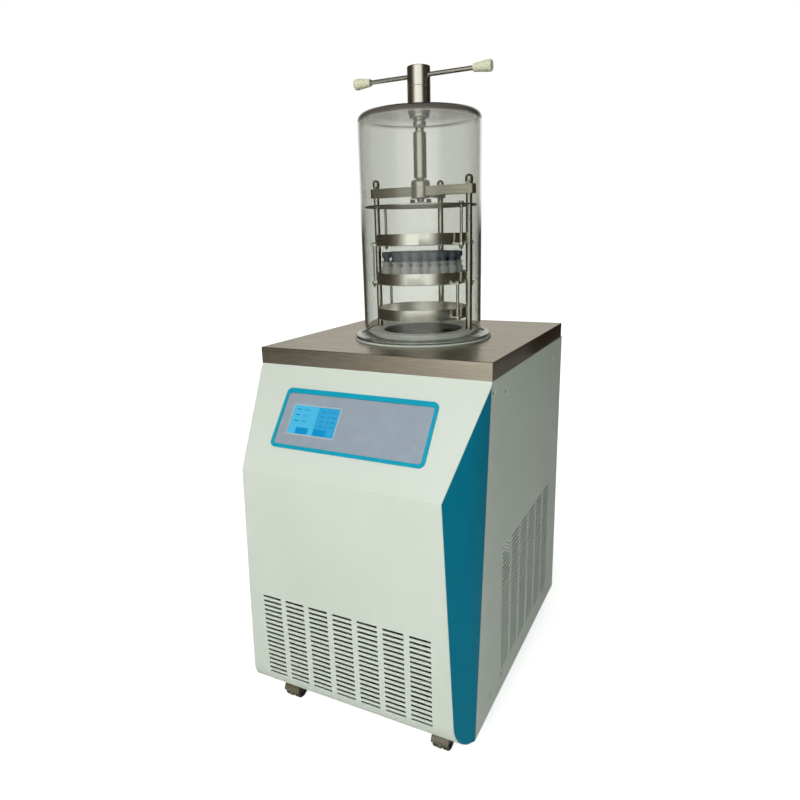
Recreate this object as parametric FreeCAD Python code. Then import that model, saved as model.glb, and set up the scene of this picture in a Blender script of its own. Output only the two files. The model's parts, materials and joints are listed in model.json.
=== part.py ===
import FreeCAD, Part
import math
import os

# A floor-standing freeze dryer: a sheet-metal cabinet on four twin-wheel casters, a stainless
# worktop, and an acrylic chamber cover over a three-tray rack that a T-handle presses shut.
# Millimetres, +X to the right, +Y to the back, +Z up. The origin is on the floor, under the
# middle of the machine's footprint.

V = FreeCAD.Vector
UP = V(0, 0, 1)

# ---------------------------------------------------------------- driving dimensions

# Cabinet
cabinet_width = 520.0           # worktop, from side to side
worktop_depth = 538.0
worktop_lip = 35.0              # height of the worktop's folded edge
worktop_edge_radius = 2.0
caster_height = 55.0            # floor to the underside of the base pan
body_height = 714.5             # underside of the base pan to the worktop's lip
side_inset = 1.0                # cabinet side, inside the worktop's edge
body_overhang = 13.0            # cabinet's rear, behind the worktop
sheet = 1.5                     # cabinet and worktop sheet metal
panel_return = 14.0             # depth of the folds round a panel's edge
pan_sheet = 2.0
pan_wall = 25.0                 # height of the base pan's folded edge
frame_tube = 22.0               # square tube of the welded frame
frame_wall = 2.0
tab_half = 8.0                  # half the width of the frame's tabs for the panel screws
seat_gap = 0.3                  # room between pieces that are assembled, not welded

# Front cover
seam_reach = 42.0               # the cover's sides, behind the worktop's front edge
slope_drop = 3.0                # top of the slope, below the worktop's lip
nose_reach = 141.4              # the crease, in front of the worktop's front edge
nose_height = 525.5             # the crease, above the base pan's underside
foot_reach = 137.0
foot_radius = 38.0
cover_lift_off_pan = 2.0        # the cover's lower edge, above the base pan's underside
facet_top_reach = 4.6           # where the bevel starts on the cabinet's side, at the slope's top
facet_nose_inset = 42.5         # the flat front's edge at the crease, inside the worktop's side
facet_foot_inset = 22.5         # the same near the floor
facet_foot_height = 52.0
accent_thickness = 1.3
accent_margin = 1.0             # pale rim of the cover round each accent panel

# Vents: columns of level slots
slot_height = 5.0
slot_pitch = 10.9
front_slot_length = 44.5
front_column_pitch = 57.0
front_columns = 7
front_rows = 18
front_vent_top = 244.0          # top row, above the base pan's underside
side_slot_length = 52.0
side_column_pitch = 66.0
side_columns = 6
side_rows = 27
side_vent_top = 340.0
side_vent_reach = 108.0         # first column's middle, behind the worktop's front edge
rear_columns = 5
rear_rows = 16

# Control panel on the slope
panel_width = 340.0
panel_height = 129.0
panel_top = 48.0                # down the slope from its top edge
panel_corner = 12.0
bezel_side = 7.0
bezel_top = 10.6
bezel_thickness = 3.0
fascia_thickness = 2.0
fascia_corner = 6.0
screen_width = 108.0
screen_height = 61.0
screen_border = 3.0
screen_shift = -86.0            # screen's middle, from the panel's middle
screen_body_depth = 18.0
screen_rise = 2.4

# Screws in pressed dimples
dimple_radius = 8.5
dimple_depth = 2.8
screw_head_radius = 4.5
screw_head_height = 2.2
screw_shank_radius = 2.2
screw_shank_length = 15.0
strip_screw_reach = 12.0        # behind the worktop's front edge
panel_screw_front = 86.0
panel_screw_rear = 455.0
screw_low = 40.0                # above the base pan's underside
screw_high_drop = 39.0          # below the worktop's lip
strip_screw_drop = 25.0

# Cold trap under the chamber
chamber_x = 13.0                # the chamber's axis, right of the cabinet's middle
chamber_reach = 238.5           # the chamber's axis, behind the worktop's front edge
trap_radius = 104.0             # inside
trap_wall = 2.0
trap_depth = 265.0
trap_flange_radius = 126.0
trap_flange_thickness = 3.0
coil_tube_radius = 4.8
coil_turns = 10
coil_pitch = 17.0
coil_start = 20.0               # first turn, above the trap's bottom
coil_gap = 0.4
header_radius = 4.0
header_angles = (225.0, 315.0)
insulation_radius = 150.0
insulation_floor = 35.0
port_height = 200.0             # vacuum port's axis, above the trap's bottom
port_outer = 14.0
port_inner = 12.5
port_reach = 36.0               # behind the rear panel
port_flange_radius = 20.0
drain_outer = 6.0
drain_inner = 4.0
drain_drop = 55.0               # drain's level run, below the trap's bottom
drain_bend = 22.0
valve_reach = 45.0              # hose barb's outer edge, behind the rear panel
barb_radius = 6.9

# Chamber cover; heights are above the worktop
seal_inner = 127.0
seal_outer = 153.5
seal_thickness = 4.0
acrylic_radius = 130.5
acrylic_wall = 5.0
acrylic_flange_radius = 152.0
acrylic_flange = 7.0
acrylic_fillet = 12.0           # between the flange and the cylinder
crown_height = 477.5
crown_drop = 9.5                # from the hub down to the shoulder's corner
crown_thickness = 9.0
shoulder_radius = 14.5
hub_radius = 24.5
hub_split = 521.0               # seam between the fixed hub and the turning one
hub_top = 559.0
hub_stem_radius = 17.0
hub_stem_bottom = 460.5
hub_nut_radius = 21.5
hub_nut_height = 7.0
tee_height = 542.0
tee_bar_radius = 4.5
tee_half_length = 155.5
tee_shift = 3.5                 # middle of the T-bar, right of the hub's axis
knob_length = 39.0
knob_inner_radius = 8.0
knob_outer_radius = 11.5

# Press rack; heights are above the worktop
rack_base_radius = 123.0
rack_base_top = 19.0
rack_base_plate = 4.0
rack_base_bore = 88.0
post_gap = 3.5                  # between the trays' rims and the posts
post_radius = 6.5
post_angles = (0.0, 90.0, 180.0)
stud_radius = 4.0
bar_bottom = 305.0
bar_height = 19.0
bar_width = 22.0
boss_radius = 20.5
boss_bottom = 300.0
boss_top = 338.0
bar_end_reach = 2.5             # middle of the bar's rounded end, beyond the post's axis
nut_across = 14.0
nut_dome_radius = 8.3
nut_height = 20.0
plate_radius = 121.0
plate_bottom = 282.5
plate_thickness = 2.5
retainer_radius = 25.0
retainer_height = 6.0
tray_radius = 100.0
tray_wall = 1.5
tray_height = 24.5
upper_tray_bottom = 202.0
middle_tray_bottom = 120.5
lower_tray_bottom = 44.5
lug_reach = 10.0                # the rods' axes, outside the trays' rims
rod_radius = 2.0                # the middle tray's rods
outer_rod_radius = 3.0          # the upper and the lower tray's rods
rod_head_rim = 2.0              # heads and nuts, beyond their rod's radius
rod_head_height = 4.0
rod_tip = 11.0
upper_rod_angles = (163.0, 343.0)
middle_rod_angles = (195.0, 15.0)
lower_rod_angles = (157.0, 337.0)
lug_width = 12.0
lug_thickness = 3.0
lug_rise = 1.0
lower_lug_rise = 6.0
landing_gap = 0.5               # left between pieces at the press's full travel
stopper_landing = 0.3

# Spindle and press screw
spindle_radius = 14.0
spindle_bottom = 341.0
spindle_groove = (434.0, 438.0)
spindle_groove_radius = 11.8
screw_radius = 9.0
screw_hex_across = 18.0
screw_hex_length = 18.0
socket_gap = 0.3                # each side, between the screw's hex and the spindle's socket
running_gap = 0.05              # radial, between a shaft and its bore
screw_lead = 8.0

# Vials and stoppers
vial_radius = 11.0
vial_height = 47.0
vial_gap = 0.4                  # between neighbouring vials
vial_glass = 1.2
vial_neck_radius = 8.2
vial_bore = 6.5
vial_lip_radius = 10.0
stopper_radius = 9.7
stopper_flange = 11.5
stopper_rise = 8.0              # stopper's flange above the vial's lip before pressing
stopper_plug = 6.3
stopper_plug_depth = 8.0

# Casters
wheel_radius = 20.0
wheel_inner = 5.0               # wheel's inner face, from the caster's middle
wheel_outer = 18.0
axle_radius = 3.0
caster_trail = 12.0
caster_side_inset = 76.0        # swivels, inside the worktop's sides
caster_front_reach = 50.0       # front swivels, in front of the worktop's front edge
caster_rear_inset = 50.0        # rear swivels, in front of the cabinet's rear
hood_radius = 23.5
hood_wall = 1.7
stem_radius = 5.5
pan_boss_radius = 12.0
pan_boss_drop = 7.0

# Refrigeration
compressor_radius = 75.0
compressor_height = 193.0       # shell's top, above the base pan's underside
compressor_x = -110.0
compressor_rear_inset = 151.0   # compressor's middle, in front of the cabinet's rear
drier_x = -200.0
drier_reach = 290.0             # behind the worktop's front edge
drier_bottom = 65.0             # above the base pan's underside
drier_length = 115.0
condenser_half = 150.0
condenser_low = 25.0            # above the base pan's underside
condenser_height = 240.0
condenser_front = 90.0          # in front of the worktop's front edge
condenser_depth = 44.0
condenser_fins = 24
condenser_passes = 5
condenser_tube = 4.75
fan_radius = 100.0
fan_ring = 105.0
fan_blade_count = 5
fan_pitch = 35.0
motor_radius = 34.0
line_radius = 4.0
line_bend = 20.0

# Control board, on the rear panel's inner face
board_x = 135.0
board_z = 620.0
board_stud_dx = 65.0
board_stud_dz = 45.0

# ---------------------------------------------------------------- derived places

half_width = cabinet_width / 2 - side_inset
body_depth = worktop_depth + body_overhang
footprint = nose_reach + body_depth + valve_reach
front = nose_reach - footprint / 2          # y of the worktop's front edge
rear = front + body_depth                   # y of the rear panel's outer face
pan_bottom = caster_height
pan_top = pan_bottom + pan_sheet
body_top = caster_height + body_height
worktop_top = body_top + worktop_lip
chamber_y = front + chamber_reach
chamber = (chamber_x, chamber_y)
trap_outer = trap_radius + trap_wall
trap_bottom = worktop_top - trap_depth
rod_circle = tray_radius + lug_reach
post_circle = tray_radius + post_gap + post_radius
coil_radius = trap_outer + coil_gap + coil_tube_radius
header_circle = coil_radius + coil_tube_radius + header_radius / 2
insulation_bore = header_circle + header_radius + 1.5
port_z = trap_bottom + port_height
drain_z = trap_bottom - drain_drop
post_x = half_width - panel_return          # outer face of the frame's posts
cover_bottom = pan_bottom + cover_lift_off_pan
slope_top = V(0, front, body_top - slope_drop)
nose = V(0, front - nose_reach, pan_bottom + nose_height)

# Travel of each piece when the press is fully down
lower_travel = lower_tray_bottom - rack_base_top - landing_gap
middle_travel = lower_travel + middle_tray_bottom - lower_tray_bottom - tray_height - landing_gap
stopper_travel = stopper_rise - landing_gap
stopper_top = middle_tray_bottom + tray_wall + vial_height + stopper_rise + stopper_flange
upper_travel = middle_travel + upper_tray_bottom - stopper_top + stopper_travel - stopper_landing
press_travel = upper_travel + plate_bottom - upper_tray_bottom - tray_height - landing_gap
plate_top = plate_bottom + plate_thickness
hex_bottom = boss_top + press_travel + 4.0

# ---------------------------------------------------------------- small helpers


def box(x, y, z):
    """Box between a low and a high limit along each axis."""
    return Part.makeBox(x[1] - x[0], y[1] - y[0], z[1] - z[0], V(x[0], y[0], z[0]))


def rod(radius, start, end):
    """Solid cylinder between two points."""
    run = V(*end) - V(*start)
    return Part.makeCylinder(radius, run.Length, V(*start), run)


def upright(radius, centre, low, high):
    """Solid vertical cylinder."""
    return rod(radius, (centre[0], centre[1], low), (centre[0], centre[1], high))


def ring(outer, inner, centre, low, high):
    """Vertical tube."""
    return upright(outer, centre, low, high).cut(upright(inner, centre, low, high))


def join(shapes):
    """One solid from several that touch."""
    return shapes[0].multiFuse(shapes[1:]).removeSplitter()


def cut_all(shape, cutters):
    """The shape less every cutter."""
    return shape.cut(Part.makeCompound(cutters))


def polar(circle, angle, centre=chamber):
    """Point on a circle round a vertical axis, from its angle in degrees."""
    turn = math.radians(angle)
    return (centre[0] + circle * math.cos(turn), centre[1] + circle * math.sin(turn))


def corner_arc(before, corner, after, radius):
    """Start, middle and end of the arc that rounds a corner."""
    back = (before - corner).normalize()
    ahead = (after - corner).normalize()
    half = back.getAngle(ahead) / 2
    reach = radius / math.tan(half)
    middle = corner + (back + ahead).normalize() * (radius / math.sin(half) - radius)
    return corner + back * reach, middle, corner + ahead * reach


def face(corners, place):
    """Face from corners (a, b) or (a, b, radius); place makes a point of a and b."""
    points = [place(corner[0], corner[1]) for corner in corners]
    count = len(points)
    bends = []
    for i, corner in enumerate(corners):
        rounded = len(corner) > 2
        after = points[(i + 1) % count]
        bends.append(corner_arc(points[i - 1], points[i], after, corner[2]) if rounded else None)
    edges = []
    for i in range(count):
        following = (i + 1) % count
        start = bends[i][2] if bends[i] else points[i]
        end = bends[following][0] if bends[following] else points[following]
        if (end - start).Length > 1e-6:
            edges.append(Part.makeLine(start, end))
        if bends[following]:
            edges.append(Part.Arc(*bends[following]).toShape())
    return Part.Face(Part.Wire(edges))


def turned(corners, centre):
    """Solid of revolution about a vertical axis, from corners (radius, height)."""
    section = face(corners, lambda r, z: V(centre[0] + r, centre[1], z))
    return section.revolve(V(centre[0], centre[1], 0), UP, 360)


def hexagon(across, centre, low, high):
    """Vertical hexagonal prism."""
    radius = across / math.sqrt(3)
    corners = [polar(radius, 60 * i, centre) for i in range(6)]
    return face(corners, lambda x, y: V(x, y, low)).extrude(V(0, 0, high - low))


def pipe(points, radius, bend, bore=0.0):
    """Tube along straight runs joined by tangent arcs."""
    points = [V(*point) for point in points]
    edges = []
    cursor = points[0]
    for before, corner, after in zip(points, points[1:], points[2:]):
        start, middle, end = corner_arc(before, corner, after, bend)
        edges += [Part.makeLine(cursor, start), Part.Arc(start, middle, end).toShape()]
        cursor = end
    edges.append(Part.makeLine(cursor, points[-1]))
    route = Part.Wire(edges)

    def swept(size):
        circle = Part.Wire(Part.makeCircle(size, points[0], points[1] - points[0]))
        return route.makePipeShell([circle], True, True)

    return swept(radius).cut(swept(bore)) if bore else swept(radius)


def mirrored(shape):
    """The same shape on the cabinet's other side."""
    return shape.mirror(V(0, 0, 0), V(1, 0, 0))


def slots(columns, rows, length, column_pitch, slot_box):
    """Boxes of a vent's slots; slot_box turns a span across and a span up into a box."""
    cutters = []
    for column in range(columns):
        middle = (column - (columns - 1) / 2) * column_pitch
        for row in range(rows):
            across = (middle - length / 2, middle + length / 2)
            level = -row * slot_pitch
            cutters.append(slot_box(across, (level - slot_height / 2, level + slot_height / 2)))
    return cutters


# ---------------------------------------------------------------- front cover

down_slope = (nose - slope_top).normalize()
slope_normal = V(1, 0, 0).cross(down_slope * -1).normalize()
slope_frame = FreeCAD.Placement(
    slope_top, FreeCAD.Rotation(V(1, 0, 0), down_slope * -1, slope_normal, "XYZ"))


def on_slope(shape):
    """Moves a shape from the slope's own frame: X right, Y up the slope, Z out of it."""
    placed = shape.copy()
    placed.Placement = slope_frame.multiply(shape.Placement)
    return placed


def cover_profile():
    """Side outline of the cabinet's front end."""
    corners = [
        (front + seam_reach, body_top), (front, body_top), (slope_top.y, slope_top.z),
        (nose.y, nose.z), (front - foot_reach, cover_bottom, foot_radius),
        (front + seam_reach, cover_bottom)]
    return face(corners, lambda y, z: V(0, y, z))


def across_cabinet(profile, half):
    """A side outline drawn out to both sides."""
    start = profile.copy()
    start.translate(V(-half, 0, 0))
    return start.extrude(V(2 * half, 0, 0))


def beyond_facets(inset):
    """Everything outside the two bevel planes, moved in by an inset."""
    top = V(half_width, front - facet_top_reach, slope_top.z)
    crease = V(cabinet_width / 2 - facet_nose_inset, nose.y, nose.z)
    foot = V(cabinet_width / 2 - facet_foot_inset, front - foot_reach,
             pan_bottom + facet_foot_height)
    normal = (crease - top).cross(foot - crease).normalize()
    normal = normal if normal.x > 0 else normal * -1
    reach = 4 * cabinet_width
    block = Part.makeBox(reach, reach, reach, V(-reach / 2, -reach / 2, 0))
    block.Placement = FreeCAD.Placement(crease - normal * inset, FreeCAD.Rotation(UP, normal))
    return block, mirrored(block)


def accent_panel():
    """Right-hand bevel panel, let into the cover."""
    inside = across_cabinet(cover_profile().makeOffset2D(-accent_margin), half_width)
    right_outer = beyond_facets(0)[0]
    right_inner = beyond_facets(accent_thickness)[0]
    return inside.common(right_inner).cut(right_outer)


def dimple(y, z, sign=1):
    """Cup and pocket of a pressed dimple on the cabinet's side, and its screw."""
    skin = sign * half_width
    floor = skin - sign * dimple_depth
    cup = rod(dimple_radius, (skin - sign * sheet / 2, y, z), (floor - sign * sheet, y, z))
    pocket = rod(dimple_radius - sheet, (floor, y, z), (skin + sign, y, z))
    hole = rod(screw_shank_radius, (floor + sign, y, z), (floor - sign * 3, y, z))
    head = rod(screw_head_radius, (floor, y, z), (floor + sign * screw_head_height, y, z))
    end = floor - sign * screw_shank_length
    shank = rod(screw_shank_radius, (floor + sign, y, z), (end, y, z))
    return cup, [pocket, hole], head.fuse(shank)


strip_screws = [(front + strip_screw_reach, body_top - strip_screw_drop),
                (front + strip_screw_reach, pan_bottom + screw_low)]
side_panel_screws = [(front + reach, z) for reach in (panel_screw_front, panel_screw_rear)
                     for z in (body_top - screw_high_drop, pan_bottom + screw_low)]

rear_screws = [(sign * (half_width - panel_return / 2), z) for sign in (-1, 1)
               for z in (pan_bottom + screw_low, (pan_bottom + body_top) / 2,
                         body_top - screw_high_drop)]


def front_cover():
    """Folded cover: slope, flat front with vents, sides back to the seam, open at the rear."""
    profile = cover_profile()
    outer = cut_all(across_cabinet(profile, half_width), beyond_facets(0))
    inner_half = half_width - sheet
    inner = across_cabinet(profile.makeOffset2D(-sheet), inner_half)
    inner = cut_all(inner, beyond_facets(accent_thickness + sheet))
    fold = front + panel_return - 2.0
    pan_front = front - foot_reach + foot_radius + 4.0
    open_back = box((-inner_half, inner_half), (fold, front + seam_reach + 1),
                    (cover_bottom - 1, body_top + 1))
    open_bottom = box((-inner_half, inner_half), (pan_front, fold + 1),
                      (cover_bottom - 1, cover_bottom + sheet))
    shell = cut_all(outer, [inner, open_back, open_bottom])
    accents = accent_panel()
    vents = slots(front_columns, front_rows, front_slot_length, front_column_pitch,
                  lambda x, z: box(x, (nose.y - 10, nose.y + 12),
                                   (z[0] + pan_bottom + front_vent_top,
                                    z[1] + pan_bottom + front_vent_top)))
    window = on_slope(screen_block(0.5, -5.0, 5.0))
    cups, pockets = [], []
    for y, z in strip_screws:
        for sign in (1, -1):
            cup, cutters, _ = dimple(y, z, sign)
            cups.append(cup)
            pockets += cutters
    shell = join([shell] + cups)
    return cut_all(shell, [accents, mirrored(accents), window] + vents + pockets)


# ---------------------------------------------------------------- control panel

panel_middle = panel_top + panel_height / 2
fascia_width = panel_width - 2 * bezel_side
fascia_height = panel_height - bezel_top - bezel_side
fascia_middle = panel_top + bezel_top + fascia_height / 2


def slope_plate(width, height, down, thickness, corner):
    """Plate with rounded corners lying on the slope, in the slope's own frame."""
    left, right = -width / 2, width / 2
    low, high = -down - height / 2, -down + height / 2
    corners = [(left, low, corner), (right, low, corner), (right, high, corner),
               (left, high, corner)]
    return face(corners, lambda x, y: V(x, y, 0)).extrude(V(0, 0, thickness))


def screen_block(margin, low, high):
    """Block the size of the screen's body, in the slope's own frame."""
    half_x = screen_width / 2 + margin
    half_y = screen_height / 2 + margin
    return box((screen_shift - half_x, screen_shift + half_x),
               (-fascia_middle - half_y, -fascia_middle + half_y), (low, high))


def control_bezel():
    """Rounded frame round the control panel."""
    outer = slope_plate(panel_width, panel_height, panel_middle, bezel_thickness, panel_corner)
    opening = slope_plate(fascia_width, fascia_height, fascia_middle, bezel_thickness, fascia_corner)
    return on_slope(outer.cut(opening))


def control_fascia():
    """Plain overlay inside the bezel, with the screen's window."""
    plate = slope_plate(fascia_width - 2 * seat_gap, fascia_height - 2 * seat_gap, fascia_middle,
                        fascia_thickness, fascia_corner)
    window = screen_block(screen_border + seat_gap, -1, fascia_thickness + 1)
    return on_slope(plate.cut(window))


def touch_screen():
    """Screen module: border in the fascia's window, body through the cover."""
    rim = screen_block(screen_border, 0, screen_rise)
    body = screen_block(0, -screen_body_depth, 0)
    return on_slope(join([rim, body]))


# ---------------------------------------------------------------- cabinet


def base_pan():
    """Folded floor of the cabinet, with a boss for each caster's stem."""
    half = half_width - sheet
    chamfer_y = front - foot_reach + foot_radius + 29.0
    nose_y = front - foot_reach + foot_radius + 5.0
    back = rear - sheet

    def outline(inset, low, high):
        plan = [(half - inset, back - inset), (half - inset, chamfer_y),
                (half - 9 - inset, nose_y + inset), (-half + 9 + inset, nose_y + inset),
                (-half + inset, chamfer_y), (-half + inset, back - inset)]
        return face(plan, lambda x, y: V(x, y, low)).extrude(V(0, 0, high - low))

    tray = outline(0, pan_bottom, pan_bottom + pan_wall)
    tray = tray.cut(outline(pan_sheet, pan_top, pan_bottom + pan_wall + 1))
    bosses = [upright(pan_boss_radius, stem, pan_bottom - pan_boss_drop, pan_top)
              for stem in caster_stems]
    bores = [upright(stem_radius + running_gap, stem, pan_bottom - pan_boss_drop - 1, pan_top + 1)
             for stem in caster_stems]
    return cut_all(join([tray] + bosses), bores)


def square_tube(x, y, z, along):
    """Square tube filling a box, open at both ends along one axis."""
    spans = [x, y, z]
    bore = [span if i == along else (span[0] + frame_wall, span[1] - frame_wall)
            for i, span in enumerate(spans)]
    return box(*spans).cut(box(*bore))


def cabinet_frame():
    """Welded frame of four posts, rails at the top and the bottom, and tabs for the screws."""
    inner_x = post_x - frame_tube
    front_post = (front + 18.0, front + 18.0 + frame_tube)
    rear_face = front + worktop_depth - sheet - seat_gap
    rear_post = (rear_face - frame_tube, rear_face)
    frame_top = worktop_top - sheet
    members = []
    for low, high in ((-post_x, -inner_x), (inner_x, post_x)):
        for span in (front_post, rear_post):
            members.append(square_tube((low, high), span, (pan_top, frame_top), 2))
        for top in (frame_top, pan_top + frame_tube):
            rail = (top - frame_tube, top)
            members.append(square_tube((low, high), (front_post[1], rear_post[0]), rail, 1))
    for span in (front_post, rear_post):
        rail = (frame_top - frame_tube, frame_top)
        members.append(square_tube((-inner_x, inner_x), span, rail, 0))
    holes = []
    middle = (pan_bottom + body_top) / 2
    for sign in (-1, 1):
        tab_x = sorted((sign * (post_x - frame_wall), sign * post_x))
        for y, z in strip_screws:
            members.append(box(tab_x, (y - tab_half, front_post[0]), (z - tab_half, z + tab_half)))
        for y, z in side_panel_screws:
            rail_z = frame_top - frame_tube if z > middle else pan_top + frame_tube
            low, high = sorted((rail_z, z + tab_half if z < middle else z - tab_half))
            members.append(box(tab_x, (y - tab_half, y + tab_half), (low, high)))
        for y, z in strip_screws + side_panel_screws:
            holes.append(rod(screw_shank_radius, (sign * (post_x - 5), y, z),
                             (sign * (post_x + 5), y, z)))
    return cut_all(members[0].multiFuse(members[1:]), holes)


def side_panel():
    """Right-hand side panel: folded on three edges, vented, with pressed dimples."""
    skin = half_width
    low_y, high_y = front + seam_reach + 0.5, rear - sheet - seat_gap
    folds_low = pan_bottom + pan_wall + 1.0
    wall = box((skin - sheet, skin), (low_y, high_y), (cover_bottom, body_top))
    top_fold = box((skin - panel_return, skin), (low_y, high_y), (body_top - sheet, body_top))
    front_fold = box((skin - panel_return, skin), (low_y, low_y + sheet), (folds_low, body_top))
    rear_fold = box((skin - panel_return, skin), (high_y - sheet, high_y), (folds_low, body_top))
    middle = front + side_vent_reach + (side_columns - 1) / 2 * side_column_pitch
    vents = slots(side_columns, side_rows, side_slot_length, side_column_pitch,
                  lambda y, z: box((skin - sheet - 1, skin + 1), (y[0] + middle, y[1] + middle),
                                   (z[0] + pan_bottom + side_vent_top,
                                    z[1] + pan_bottom + side_vent_top)))
    cups, pockets = [], []
    for y, z in side_panel_screws:
        cup, cutters, _ = dimple(y, z)
        cups.append(cup)
        pockets += cutters
    holes = [rod(screw_shank_radius, (x, high_y - 5, z), (x, high_y + 1, z)) for x, z in rear_screws
             if x > 0]
    return cut_all(join([wall, top_fold, front_fold, rear_fold] + cups), vents + pockets + holes)


def rear_panel():
    """Rear sheet with an exhaust vent, openings for the services and studs for the board."""
    wall = box((-half_width, half_width), (rear - sheet, rear), (cover_bottom, body_top))
    fold = box((-post_x, post_x), (rear - panel_return, rear), (body_top - sheet, body_top))
    studs = [rod(stud_radius - 1, (x, rear - sheet, z), (x, board_y, z)) for x, z in board_studs]
    vents = slots(rear_columns, rear_rows, front_slot_length, front_column_pitch,
                  lambda x, z: box(x, (rear - sheet - 1, rear + 1),
                                   (z[0] + pan_bottom + front_vent_top,
                                    z[1] + pan_bottom + front_vent_top)))
    sheet_span = (rear - sheet - 1, rear + 1)
    services = [
        rod(port_outer + 1, (chamber_x, rear - 5, port_z), (chamber_x, rear + 1, port_z)),
        rod(drain_outer + 1, (chamber_x, rear - 5, drain_z), (chamber_x, rear + 1, drain_z)),
        box((inlet_x - inlet_half - seat_gap, inlet_x + inlet_half + seat_gap), sheet_span,
            (inlet_z - inlet_rise - seat_gap, inlet_z + inlet_rise + seat_gap))]
    holes = [rod(screw_shank_radius, (x, rear - sheet - 1, z), (x, rear + 1, z))
             for x, z in rear_screws]
    return cut_all(join([wall, fold] + studs), vents + services + holes)


def panel_screws():
    """Every screw that holds the cover, the side panels and the rear panel."""
    screws = []
    for y, z in strip_screws + side_panel_screws:
        for sign in (1, -1):
            screws.append(dimple(y, z, sign)[2])
    for x, z in rear_screws:
        head = rod(screw_head_radius, (x, rear, z), (x, rear + screw_head_height, z))
        shank = rod(screw_shank_radius, (x, rear, z), (x, rear - screw_shank_length / 2, z))
        screws.append(head.fuse(shank))
    return Part.makeCompound(screws)


def worktop():
    """Folded stainless top with the cold trap's opening."""
    half = cabinet_width / 2
    outer = box((-half, half), (front, front + worktop_depth), (body_top, worktop_top))
    edges = [edge for edge in outer.Edges
             if edge.BoundBox.ZMax > worktop_top - 0.01]
    outer = outer.makeFillet(worktop_edge_radius, edges)
    hollow = box((-half + sheet, half - sheet), (front + sheet, front + worktop_depth - sheet),
                 (body_top - 1, worktop_top - sheet))
    mouth = upright(trap_outer + seat_gap, chamber, body_top, worktop_top + 1)
    return cut_all(outer, [hollow, mouth])


# ---------------------------------------------------------------- electrics

board_studs = [(board_x + dx, board_z + dz) for dx in (-board_stud_dx, board_stud_dx)
               for dz in (-board_stud_dz, board_stud_dz)]
board_y = rear - sheet - 12.0
inlet_x = -180.0
inlet_z = pan_bottom + 65.0
inlet_half = 18.0
inlet_rise = 31.0
inlet_depth = 26.0
rocker_z = inlet_z + 16.0
rocker_half = 8.7
rocker_rise = 10.0
rocker_depth = 6.0
rocker_tilt = 8.0
rocker_pivot_y = rear - 1.0


def control_board():
    """Circuit board with its larger parts, on the rear panel's studs."""
    low_x, high_x = board_studs[0][0] - 8, board_studs[-1][0] + 8
    low_z, high_z = board_studs[0][1] - 8, board_studs[-1][1] + 8
    board = box((low_x, high_x), (board_y - 1.6, board_y), (low_z, high_z))
    parts = [box((low_x + 14, low_x + 54), (board_y - 32, board_y - 1), (low_z + 20, low_z + 56))]
    for i in range(3):
        x = low_x + 66 + i * 24
        parts.append(box((x, x + 18), (board_y - 17, board_y - 1), (low_z + 14, low_z + 42)))
        parts.append(rod(6.0, (x + 9, board_y - 1, high_z - 24), (x + 9, board_y - 22, high_z - 24)))
    return join([board] + parts)


def power_inlet():
    """Inlet socket and switch frame in one moulding."""
    flange = box((inlet_x - 25, inlet_x + 25), (rear, rear + 3), (inlet_z - 35, inlet_z + 35))
    body = box((inlet_x - inlet_half, inlet_x + inlet_half), (rear - inlet_depth, rear),
               (inlet_z - inlet_rise, inlet_z + inlet_rise))
    socket_z = inlet_z - 15.0
    socket = box((inlet_x - 13, inlet_x + 13), (rear - 16, rear + 4), (socket_z - 10, socket_z + 10))
    switch_half = rocker_half + seat_gap
    switch = box((inlet_x - switch_half, inlet_x + switch_half),
                 (rear - 14, rear + 4), (rocker_z - rocker_rise - 1.5, rocker_z + rocker_rise + 1.5))
    pins = [box((inlet_x + x - 1, inlet_x + x + 1), (rear - 17, rear - 3),
                (socket_z + z - 2.5, socket_z + z + 2.5)) for x, z in ((-7, -2), (0, 3), (7, -2))]
    return join([cut_all(join([flange, body]), [socket, switch])] + pins)


def rocker_switch():
    """Rocker, tilted to its off position."""
    corners = [(-rocker_depth, -rocker_rise), (rocker_depth - 1.5, -rocker_rise),
               (rocker_depth - 3.5, 0), (rocker_depth - 1.5, rocker_rise),
               (-rocker_depth, rocker_rise)]
    pivot_y, pivot_z = rocker_pivot_y, rocker_z
    section = face(corners, lambda y, z: V(inlet_x - rocker_half, pivot_y + y, pivot_z + z))
    rocker = section.extrude(V(2 * rocker_half, 0, 0))
    rocker.rotate(V(inlet_x, pivot_y, pivot_z), V(1, 0, 0), rocker_tilt)
    return rocker


# ---------------------------------------------------------------- refrigeration

condenser_y = (front - condenser_front, front - condenser_front + condenser_depth)
condenser_z = (pan_bottom + condenser_low, pan_bottom + condenser_low + condenser_height)
condenser_mid_y = sum(condenser_y) / 2
condenser_step = condenser_height / condenser_passes
condenser_levels = [condenser_z[0] + condenser_step * (i + 0.5) for i in range(condenser_passes)]
fan_z = sum(condenser_z) / 2
fan_y = condenser_y[1] + 17.0
motor_y = condenser_y[1] + 32.0
end_plate = condenser_half + 2.0


def condenser():
    """Finned coil: thin fins on level tubes, between end plates that stand on the pan."""
    pieces = []
    for i in range(condenser_fins):
        x = (i + 0.5) / condenser_fins * 2 * condenser_half - condenser_half
        pieces.append(box((x - 0.4, x + 0.4), condenser_y, condenser_z))
    for sign in (-1, 1):
        span = sorted((sign * condenser_half, sign * end_plate))
        pieces.append(box(span, condenser_y, (pan_top, condenser_z[1])))
    turn = end_plate + 8.0
    for i, level in enumerate(condenser_levels):
        pieces.append(rod(condenser_tube, (-turn, condenser_mid_y, level),
                          (turn, condenser_mid_y, level)))
        if i:
            x = turn if i % 2 else -turn
            pieces.append(rod(condenser_tube, (x, condenser_mid_y, condenser_levels[i - 1]),
                              (x, condenser_mid_y, level)))
    return pieces[0].multiFuse(pieces[1:])


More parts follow.
